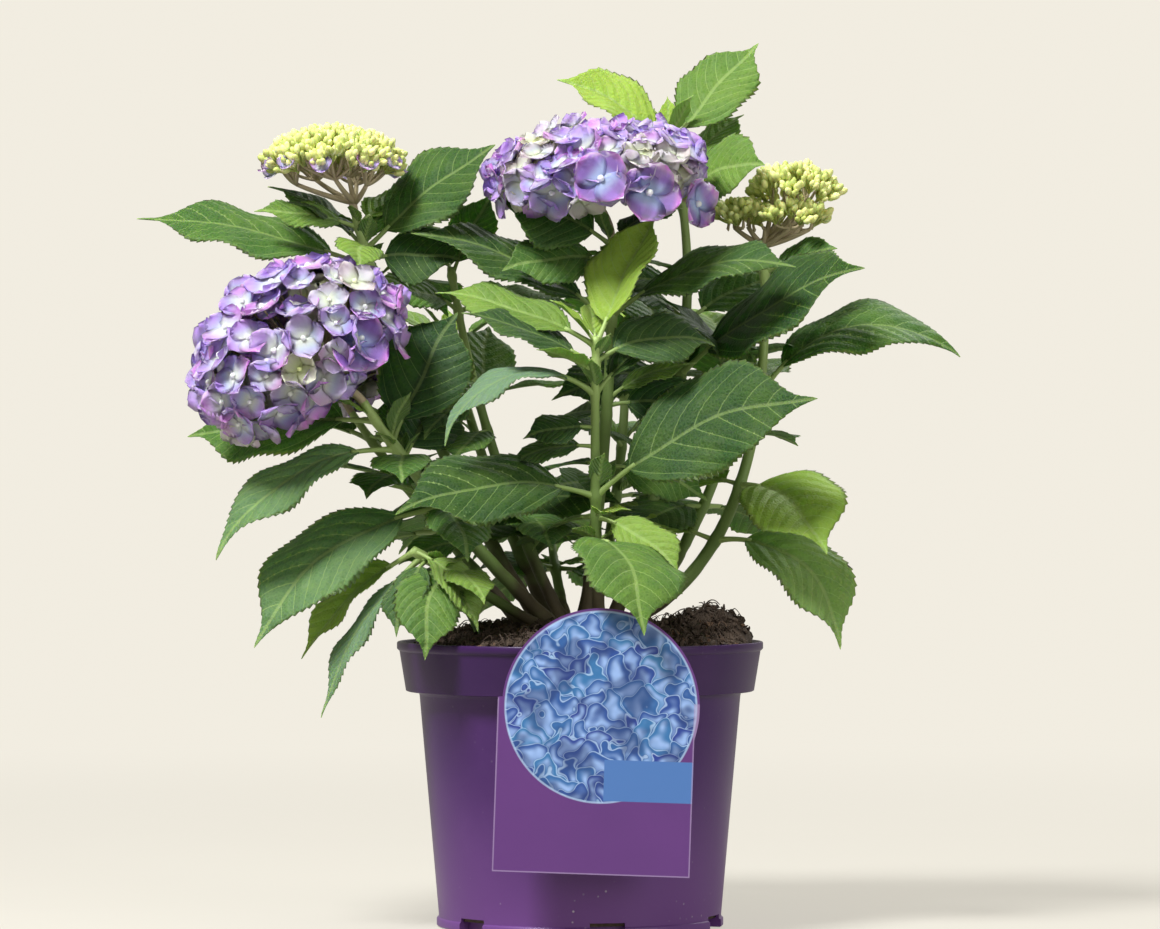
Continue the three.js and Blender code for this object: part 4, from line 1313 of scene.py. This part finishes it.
def pot_material(settings):
    """Pot: semi-gloss purple plastic, darker on the rim band by painted shade and lighter and
    redder low down by painted light, with lighter cloudy patches, a fine moulded grain and specks
    of dry soil near the foot."""
    material, n, shader = new_material("pot")
    place = n.coordinates()
    height = n.parts(place)[2]
    patches, grain = n.mottle(14.0, 700.0)
    # Painted light: lighter and redder toward the foot, standing for light reflected low on the
    # body; the cloudy patches take the same lighter colour.
    colour = n.mix(n.ramp(height, 0.14, -0.02), settings.colour, settings.lit_foot_and_patch_colour)
    colour = n.mix(n.times(n.ramp(patches, 0.35, 0.8), 0.35), colour, settings.lit_foot_and_patch_colour)
    # Painted shade: the rim band is darkened toward a darker purple that stands for shade on it.
    colour = n.mix(n.times(n.ramp(height, 0.143, 0.149), 0.45), colour, settings.band)
    speck = n.add("TexVoronoi", {"Vector": place, "Scale": 170.0}, feature="F1")
    dots = n.ramp(speck.outputs["Distance"], 0.17, 0.06)
    dots = n.times(dots, n.ramp(n.noise(place, 40.0), 0.52, 0.66))
    dust = n.times(dots, n.line(n.ramp(height, 0.06, 0.0), 0.7, 0.08))
    n.feed(shader, {
        "Base Color": n.mix(dust, colour, settings.dust),
        "Specular IOR Level": 0.36,
        "Roughness": n.line(dust, 0.4, n.line(patches, 0.2, 0.26)),
        "Normal": n.bump(grain, 0.12, 0.0003),
    })
    return material


def soil_material(settings):
    """Soil: dark and light crumbs, the odd chip by its tone, with a coarse grain."""
    material, n, shader = new_material("soil")
    patches, grain = n.mottle(120.0, 700.0)
    colour = n.mix(patches, settings.soil_dark, settings.soil_light)
    chip = n.ramp(n.carried("soil_tone", "Fac"), 0.8, 1.0)
    n.feed(shader, {
        "Base Color": n.mix(chip, colour, settings.chip),
        "Roughness": 0.92,
        "Normal": n.bump(n.sum("ADD", patches, grain), 0.9, 0.0015),
    })
    return material


def scale_field(n, place, dx, dz, settings):
    """The colours of the card's field: rows of round scales, each over the one above it, each
    pale at its root with a thin line round it. Clouds push the rows out of line."""
    sway = n.parts(n.noise(place, 0.06, 1.0, "Color"))
    dx, dz = (
        n.sum("ADD", value, n.line(part, SCALE_SWAY, -SCALE_SWAY / 2))
        for value, part in ((dx, sway[0]), (dz, sway[1]))
    )
    step = SCALE_PITCH / 2
    row = n.sum("FLOOR", n.sum("DIVIDE", dz, step))
    field = None
    for layer in (2.0, 1.0, 0.0):
        level = n.sum("ADD", row, layer)
        odd = n.sum("MODULO", n.sum("ABSOLUTE", level), 2.0)
        slid = n.line(odd, step, dx)
        column = n.sum("FLOOR", n.sum("DIVIDE", slid, SCALE_PITCH))
        inside = n.sum("SUBTRACT", slid, n.line(column, SCALE_PITCH, step))
        reach = n.length(inside, n.sum("SUBTRACT", dz, n.times(level, step)))
        cell = n.add("CombineXYZ", {0: column, 1: level}).outputs[0]
        dice = n.add("TexWhiteNoise", {"Vector": cell}, noise_dimensions="3D").outputs["Value"]
        scale = n.mix(dice, settings.scale_blue, settings.scale_teal)
        root = n.ramp(reach, 0.02 * SCALE_PITCH, 0.4 * SCALE_PITCH)
        scale = n.mix(root, settings.scale_pale, scale)
        rim = n.between(reach, 0.455 * SCALE_PITCH, 0.5 * SCALE_PITCH, 0.2)
        scale = n.mix(n.times(rim, 0.6), scale, settings.scale_line)
        if field is not None:
            inner = n.ramp(reach, 0.52 * SCALE_PITCH, 0.5 * SCALE_PITCH)
            scale = n.mix(inner, field, scale)
        field = scale
    shade = n.times(n.ramp(n.noise(place, 0.05), 0.56, 0.4), 0.6)
    return n.mix(shade, field, settings.scale_deep)


def card_material(settings):
    """Card: satin purple with a thin pale cut edge, a round field of wavy overlapping scales
    in blues, a thin pale ring round it, and a plain blue tab."""
    material, n, shader = new_material("card")
    place = n.carried("card_place")
    x, z, front = n.parts(place)
    patches, grain = n.mottle(20.0, 900.0)
    dx, dz = n.sum("SUBTRACT", x, DISC_AT[0]), n.sum("SUBTRACT", z, DISC_AT[1])
    far = n.length(dx, dz)
    colour = n.mix(patches, settings.colour, settings.deep)
    disc = n.ramp(far, DISC_RADIUS - 1.4, DISC_RADIUS - 2.2)
    colour = n.mix(disc, colour, scale_field(n, place, dx, dz, settings))
    ring = n.between(far, DISC_RADIUS - 2.6, DISC_RADIUS - 1.4, 0.3)
    colour = n.mix(n.times(ring, 0.5), colour, settings.scale_line)
    tab = n.times(n.between(x, *TAB_SIDES, 0.25), n.between(z, *TAB_HEIGHTS, 0.25))
    colour = n.mix(tab, colour, settings.tab)
    sides = n.between(x, CARD_LEFT + CUT_EDGE, CARD_RIGHT - CUT_EDGE, 0.2)
    inner = n.times(sides, n.ramp(z, CARD_FOOT + 0.6, CARD_FOOT + 1))
    sheet = n.times(n.ramp(z, CARD_SHOULDER, CARD_SHOULDER - 1), 0.5)
    colour = n.mix(n.times(n.sum("SUBTRACT", 1.0, inner), sheet), colour, settings.edge)
    n.feed(shader, {
        "Base Color": n.mix(front, settings.deep, colour),
        "Roughness": n.line(patches, 0.12, 0.34),
        "Normal": n.bump(grain, 0.05, 0.0002),
    })
    return material


def floor_material(settings):
    """The floor: pale and plain near the pot, and further off lit by itself, so that it runs
    into the backdrop."""
    material, n, shader = new_material("floor")
    place = n.coordinates()
    reach = n.add("VectorMath", {0: place}, operation="LENGTH").outputs["Value"]
    far = n.line(n.ramp(reach, 0.35, 2.2), 0.45, 0.55)
    near = n.mix(n.noise(place, 6.0), settings.floor, settings.floor_cloud)
    n.feed(shader, {
        "Base Color": n.mix(far, near, BLACK),
        "Emission Color": n.mix(far, BLACK, settings.backdrop),
        "Emission Strength": n.for_camera(settings.fill_share),
        "Roughness": 0.9,
        "Specular IOR Level": 0.0,
    })
    return material


# Settings


def colour_property(name, description, default):
    """A colour that a piece's settings hold."""
    return FloatVectorProperty(
        name=name, description=description, default=default, subtype="COLOR", size=3, min=0, max=1
    )


def power_property(name, description, default):
    """The power of a light."""
    return FloatProperty(name=name, description=description, default=default, min=0, unit="POWER")


class HydrangeaLeafSettings(PropertyGroup):
    """The colours of the leaves."""

    # Dark to bright greens also carry painted light and shade, chosen by each leaf's tone.
    dark: colour_property("Dark", "Green of the oldest leaves", (0.011, 0.035, 0.01))
    middle: colour_property("Middle", "Green of most leaves", (0.04, 0.11, 0.017))
    bright: colour_property("Bright", "Green of the youngest leaves", (0.31, 0.46, 0.05))
    # Painted sheen: this greyer green stands for the pale sky reflected on older leaves that droop
    # to a side.
    painted_sheen: colour_property("Grey", "Duller green of leaves that droop", (0.145, 0.24, 0.15))
    vein: colour_property("Veins", "Colour of the veins", (0.3, 0.42, 0.14))
    under: colour_property("Underside", "Colour that pales the underside", (0.2, 0.3, 0.12))


class HydrangeaStemSettings(PropertyGroup):
    """The colours of stems, stalks and rays."""

    bark: colour_property("Bark", "Brown of the old wood", (0.05, 0.04, 0.02))
    pale_bark: colour_property("Pale Bark", "Lighter patches of the old wood", (0.15, 0.12, 0.06))
    green: colour_property("Green", "Green of the stems", (0.15, 0.24, 0.055))
    young: colour_property("Young", "Green of the young tips", (0.36, 0.5, 0.15))


class HydrangeaFlowerSettings(PropertyGroup):
    """The colours of florets and buds."""

    violet: colour_property("Violet", "Rim of a petal", (0.38, 0.22, 0.76))
    magenta: colour_property("Magenta", "Rim of the redder petals", (0.54, 0.16, 0.58))
    deep: colour_property("Deep Violet", "Inside of the widest florets", (0.23, 0.12, 0.46))
    blue: colour_property("Blue", "Inside of the bluer petals", (0.4, 0.5, 0.95))
    lilac: colour_property("Lilac", "Inside of the redder petals", (0.56, 0.42, 0.86))
    eye: colour_property("Eye", "Pale middle of a floret", (0.82, 0.85, 0.8))
    cream: colour_property("Cream", "Unripe petals", (0.88, 0.9, 0.52))
    green: colour_property("Unripe Green", "Roots of unripe petals", (0.58, 0.68, 0.2))
    bud_bright: colour_property("Bright Buds", "Yellow-green of most buds", (0.84, 0.86, 0.34))
    bud_dark: colour_property("Dark Buds", "Green of the buds' stalks", (0.5, 0.58, 0.15))


class HydrangeaPotSettings(PropertyGroup):
    """The colours of pot and soil, and what lies on the soil."""

    colour: colour_property("Colour", "Purple of the plastic", (0.048, 0.011, 0.1))
    # Painted light: this lighter, redder purple low on the body stands for light reflected there;
    # the cloudy patches use it too.
    lit_foot_and_patch_colour: colour_property("Low Colour", "Redder purple near the foot", (0.14, 0.05, 0.22))
    # Painted shade: this darker purple of the rim band stands for shade on it.
    band: colour_property("Band", "Darker purple of the rim band", (0.018, 0.004, 0.034))
    dust: colour_property("Dust", "Specks of dry soil", (0.55, 0.5, 0.5))
    soil_dark: colour_property("Dark Soil", "Moist soil", (0.012, 0.008, 0.006))
    soil_light: colour_property("Light Soil", "Drier soil", (0.13, 0.088, 0.06))
    chip: colour_property("Chips", "Bits of bark and fibre", (0.16, 0.09, 0.05))
    crumbs: IntProperty(name="Crumbs", description="Loose crumbs on the soil", default=3600, min=0)
    fibres: IntProperty(name="Fibres", description="Loose fibres on the soil", default=420, min=0)


class HydrangeaCardSettings(PropertyGroup):
    """The colours of the card."""

    colour: colour_property("Colour", "Purple of the card", (0.13, 0.04, 0.21))
    deep: colour_property("Deep Colour", "Darker purple of the card", (0.1, 0.03, 0.17))
    scale_blue: colour_property("Scale Blue", "Bluer scales", (0.02, 0.045, 0.28))
    scale_teal: colour_property("Scale Teal", "Greener scales", (0.04, 0.19, 0.42))
    scale_pale: colour_property("Scale Pale", "Pale root of a scale", (0.3, 0.46, 0.8))
    scale_deep: colour_property("Scale Deep", "Darker patches of the field", (0.012, 0.03, 0.14))
    scale_line: colour_property("Scale Line", "Thin line round a scale", (0.5, 0.68, 0.92))
    edge: colour_property("Edge", "Pale cut edge of the sheet", (0.42, 0.32, 0.52))
    tab: colour_property("Tab", "The plain tab", (0.07, 0.18, 0.46))


class HydrangeaStageSettings(PropertyGroup):
    """The backdrop, the floor and the lights."""

    backdrop: colour_property("Backdrop", "Pale cream of the backdrop", (0.885, 0.845, 0.752))
    floor: colour_property("Floor", "Pale floor near the pot", (0.55, 0.53, 0.475))
    floor_cloud: colour_property("Floor Clouds", "Faint clouds on the floor", (0.57, 0.55, 0.49))
    sky_share: FloatProperty(
        name="Sky", description="Light from above, as a part of the backdrop's", default=0.7, min=0
    )
    fill_share: FloatProperty(
        name="Soft Fill",
        description="Part of the backdrop's light that falls on the plant",
        default=0.45,
        min=0,
        max=1,
    )
    key_power: power_property("Key", "Power of the key light", 140)
    fill_power: power_property("Fill", "Power of the fill light", 30)
    rim_power: power_property("Rim", "Power of the light behind", 24)


# Operators


LEAF_PIECES = {
    "foliage_right": ("right", "tall"),
    "foliage_middle": ("middle", "front"),
    "foliage_left": ("left", "upper_left", "inner_left", "low_left"),
    "foliage_behind": ("back_right", "back_middle", "back_left", "far_left", "low_back"),
}


def leafy_nodes(names):
    """The solids that the leaves of some shoots stand for."""
    return [f"leaves_{name}" for name in names]


def is_open_view(root, leaf):
    """Whether the middle of a leaf stands in one of the open views, as the camera sees it: a
    place is drawn in toward the eye's axis by its depth."""
    place, _, _ = leaf_frame(root, leaf, np.linspace(0.3, 0.95, 9))
    nearer = EYE[1] / (EYE[1] - place[:, 1])
    x, z = place[:, 0] * nearer, EYE[2] + (place[:, 2] - EYE[2]) * nearer
    return any(
        ((x > left) & (x < right) & (z > foot) & (z < top)).any()
        for left, right, foot, top in OPEN_VIEWS
    )


def leaves_of(name):
    """The leaves of a shoot and those that go with them, with their roots on the stem."""
    foot, knee, tip, _, leaves = SHOOTS[name]
    leaves = leaves + INNER_LEAVES.get(name, ())
    rng = np.random.default_rng(sum(name.encode()))
    out = []
    for leaf in leaves:
        for each in (leaf, *leaf_partners(leaf, leaves, rng)):
            root = stem_path(foot, knee, tip, [share_at(foot, knee, tip, each[0])])[0]
            if each is leaf or not is_open_view(root, each):
                out.append((root, each))
    return out


class HYDRANGEA_OT_pot(Operator):
    """Makes the pot, and cuts its drain holes and the notches in its foot"""

    bl_idname = "hydrangea.pot"
    bl_label = "Pot"

    def execute(self, context):
        material = pot_material(context.scene.hydrangea_pot)
        wall = turned_surface(pot_profile(), 180)
        piece = make_piece("pot_shell", [wall], material, ["pot"], sharp=40)
        low, high, wide = BODY_FOOT_RADIUS - 7, FOOT_RING_RADIUS + 5, NOTCH_WIDTH / 2
        box = [(x, y, z) for x in (low, high) for y in (-wide, wide) for z in (-1, NOTCH_HEIGHT)]
        box_faces = [
            (0, 1, 3, 2), (4, 6, 7, 5), (0, 4, 5, 1), (2, 3, 7, 6), (0, 2, 6, 4), (1, 5, 7, 3)
        ]
        count = 24
        ring = [
            (DRAIN_CIRCLE_RADIUS + DRAIN_RADIUS * math.cos(t), DRAIN_RADIUS * math.sin(t), z)
            for z in (-1, FLOOR_TOP + 1) for t in 2 * np.pi * np.arange(count) / count
        ]
        ring_faces = [
            (j, (j + 1) % count, count + (j + 1) % count, count + j) for j in range(count)
        ]
        ring_faces += [tuple(range(count - 1, -1, -1)), tuple(range(count, 2 * count))]
        cutters = []
        for i in range(NOTCH_COUNT):
            bearing = FRONT_NOTCH_BEARING + 360 / NOTCH_COUNT * i
            for name, points, faces in (("notch", box, box_faces), ("drain", ring, ring_faces)):
                turned = turned_about_up(points, bearing)
                cutters.append(cutter_object(f"{name}_{i}", turned, faces))
        cut_away(piece, cutters)
        piece.data.set_sharp_from_angle(angle=math.radians(40))
        return {"FINISHED"}


class HYDRANGEA_OT_soil(Operator):
    """Makes the soil in the pot, and the crumbs and fibres that lie on it"""

    bl_idname = "hydrangea.soil"
    bl_label = "Soil"

    def execute(self, context):
        settings = context.scene.hydrangea_pot
        material = soil_material(settings)
        crumbs = crumb_surfaces(settings.crumbs, 11)
        make_piece("soil_bed", [soil_surface()], material, ["soil"])
        make_piece("soil_crumbs", crumbs, material, ["soil"], sharp=30)
        make_piece("soil_fibres", fibre_surfaces(settings.fibres, 12), material, ["soil"])
        return {"FINISHED"}


class HYDRANGEA_OT_card(Operator):
    """Makes the hanging card and its tongue over the rim"""

    bl_idname = "hydrangea.card"
    bl_label = "Card"

    def execute(self, context):
        material = card_material(context.scene.hydrangea_card)
        make_piece("label_card", [card_surface()], material, ["card"], sharp=40)
        make_piece("label_tongue", [tongue_surface()], material, ["card"], sharp=40)
        return {"FINISHED"}


class HYDRANGEA_OT_stems(Operator):
    """Makes the stems and the stalks of the leaves"""

    bl_idname = "hydrangea.stems"
    bl_label = "Stems"

    def execute(self, context):
        material = stem_material(context.scene.hydrangea_stem)
        stems = [stem_surface(shoot, 40 + i) for i, shoot in enumerate(SHOOTS.values())]
        make_piece("stems", stems, material, [f"stem_{name}" for name in SHOOTS])
        stalks = [stalk_surface(root, leaf) for name in SHOOTS for root, leaf in leaves_of(name)]
        make_piece("leaf_stalks", stalks, material, leafy_nodes(SHOOTS))
        return {"FINISHED"}


class HYDRANGEA_OT_leaves(Operator):
    """Makes the blades of the leaves, the shoots in front apart from those behind"""

    bl_idname = "hydrangea.leaves"
    bl_label = "Leaves"

    def execute(self, context):
        material = leaf_material(context.scene.hydrangea_leaf, veins_group())
        rng = np.random.default_rng(5)
        for piece, names in LEAF_PIECES.items():
            rooted = [each for name in names for each in leaves_of(name)]
            blades = [leaf_surface(root, leaf, rng) for root, leaf in rooted]
            make_piece(piece, blades, material, leafy_nodes(names))
        return {"FINISHED"}


class HYDRANGEA_OT_flowers(Operator):
    """Makes the open heads and the heads in bud, with their rays"""

    bl_idname = "hydrangea.flowers"
    bl_label = "Flowers"

    def execute(self, context):
        settings = context.scene.hydrangea_flower
        petal, bud = petal_material(settings), bud_material(settings)
        stem = bpy.data.materials["stem"]
        for i, (name, head) in enumerate(MOPHEADS.items()):
            sepals, rays = mophead_surfaces(name, 60 + i)
            make_piece(f"florets_{name}", sepals, petal, [f"flowers_{name}"])
            shoot, at, axis, _, half = head[:5]
            inside = np.array(at, float) - unit(np.array(axis, float)) * half * 0.7
            rays.append(head_stalk(shoot, inside))
            make_piece(f"head_rays_{name}", rays, stem, [f"flowers_{name}"])
        for i, (name, head) in enumerate(BUD_HEADS.items()):
            buds, rays, sepals = bud_head_surfaces(head, 80 + i)
            make_piece(f"bud_tufts_{name}", buds, bud, [f"buds_{name}"])
            if sepals:
                make_piece(f"early_florets_{name}", sepals, petal, [f"buds_{name}"])
            rays.append(head_stalk(head[0], np.array(SHOOTS[head[0]][2], float) + UP * 9))
            make_piece(f"bud_rays_{name}", rays, stem, [f"buds_{name}"])
        return {"FINISHED"}


def turned_to(aim):
    """The turn that points a lamp's own beam along a direction."""
    x, y, z = unit(aim)
    return (math.pi / 2 + math.asin(z), 0, math.atan2(-x, y))


def add_floor(scene, settings):
    """A round floor: rings that get wider apart, each a fixed ratio further out."""
    reach = np.concatenate([[0.01], np.geomspace(0.5, FLOOR_REACH, 12)])
    turn = np.linspace(0, 2 * math.pi, 48, endpoint=False)
    x, y = reach[:, None] * np.cos(turn), reach[:, None] * np.sin(turn)
    points = np.stack([x, y, np.full(x.shape, -FLOOR_DROP)], -1).reshape(-1, 3)
    index = np.arange(len(points)).reshape(x.shape)
    beside = np.roll(index, -1, axis=1)
    quads = np.stack([index[:-1], index[1:], beside[1:], beside[:-1]], -1).reshape(-1, 4)
    mesh = bpy.data.meshes.new("floor")
    mesh.from_pydata(points.tolist(), [], quads.tolist())
    mesh.materials.append(floor_material(settings))
    floor = bpy.data.objects.new("floor", mesh)
    scene.collection.objects.link(floor)


def add_lights(scene, settings):
    """The soft round lights."""
    for name, (place, size) in LIGHTS.items():
        light = bpy.data.lights.new(name, "AREA")
        light.shape, light.size = "DISK", size
        light.energy = getattr(settings, f"{name}_power")
        lamp = bpy.data.objects.new(name, light)
        lamp.location = place
        lamp.rotation_euler = turned_to(np.array(LIT_PLACE) - np.array(place))
        scene.collection.objects.link(lamp)


def add_backdrop(scene, settings):
    """The pale backdrop all round, dimmer overhead."""
    world = bpy.data.worlds.new("studio")
    world.use_nodes = True
    n = Nodes(world.node_tree)
    up = n.parts(n.coordinates("Generated"))[2]
    dim = [channel * settings.sky_share for channel in settings.backdrop]
    colour = n.mix(n.ramp(up, 0.25, 0.6), settings.backdrop, dim)
    glow = n.for_camera(settings.fill_share)
    n.feed(world.node_tree.nodes["Background"], {"Color": colour, "Strength": glow})
    scene.world = world


def add_camera(scene):
    """A level camera in front. Its lens is the sensor's width times the way to the pot's
    middle over the width that it sees there."""
    data = bpy.data.cameras.new("camera")
    data.sensor_width = SENSOR
    data.lens = SENSOR * -EYE[1] / SEEN_WIDTH
    camera = bpy.data.objects.new("camera", data)
    camera.location = [value * MM for value in EYE]
    camera.rotation_euler = (math.pi / 2, 0, 0)
    scene.collection.objects.link(camera)
    scene.camera = camera


class HYDRANGEA_OT_stage(Operator):
    """Makes the pale floor, the pale backdrop all round, the soft lights and the camera"""

    bl_idname = "hydrangea.stage"
    bl_label = "Stage"

    def execute(self, context):
        scene = context.scene
        settings = scene.hydrangea_stage
        add_floor(scene, settings)
        add_lights(scene, settings)
        add_backdrop(scene, settings)
        add_camera(scene)
        scene.view_settings.view_transform = "Standard"
        return {"FINISHED"}


class HYDRANGEA_PT_pieces(Panel):
    """Lists the pieces of the potted hydrangea and their settings"""

    bl_idname = "HYDRANGEA_PT_pieces"
    bl_label = "Potted Hydrangea"
    bl_space_type = "VIEW_3D"
    bl_region_type = "UI"
    bl_category = "Hydrangea"

    def draw(self, context):
        for operator in OPERATORS:
            self.layout.operator(operator.bl_idname)
        for name in SETTINGS:
            box = self.layout.box()
            settings = getattr(context.scene, name)
            for key in settings.bl_rna.properties.keys():
                if key not in ("rna_type", "name"):
                    box.prop(settings, key)


SETTINGS = {
    "hydrangea_stage": HydrangeaStageSettings,
    "hydrangea_leaf": HydrangeaLeafSettings,
    "hydrangea_stem": HydrangeaStemSettings,
    "hydrangea_flower": HydrangeaFlowerSettings,
    "hydrangea_pot": HydrangeaPotSettings,
    "hydrangea_card": HydrangeaCardSettings,
}
OPERATORS = (
    HYDRANGEA_OT_stage,
    HYDRANGEA_OT_pot,
    HYDRANGEA_OT_soil,
    HYDRANGEA_OT_card,
    HYDRANGEA_OT_stems,
    HYDRANGEA_OT_leaves,
    HYDRANGEA_OT_flowers,
)


def register():
    """Adds the settings, the operators and the panel to Blender."""
    for kind in (*SETTINGS.values(), *OPERATORS, HYDRANGEA_PT_pieces):
        bpy.utils.register_class(kind)
    for name, kind in SETTINGS.items():
        setattr(bpy.types.Scene, name, PointerProperty(type=kind))


def unregister():
    """Takes them out again."""
    for name in SETTINGS:
        delattr(bpy.types.Scene, name)
    for kind in (HYDRANGEA_PT_pieces, *OPERATORS, *SETTINGS.values()):
        bpy.utils.unregister_class(kind)


def main():
    """Makes every piece in order."""
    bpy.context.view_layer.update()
    register()
    mottle_group()
    bpy.ops.hydrangea.stage()
    bpy.ops.hydrangea.pot()
    bpy.ops.hydrangea.soil()
    bpy.ops.hydrangea.card()
    bpy.ops.hydrangea.stems()
    bpy.ops.hydrangea.leaves()
    bpy.ops.hydrangea.flowers()
    bpy.context.view_layer.update()


if __name__ == "__main__":
    main()
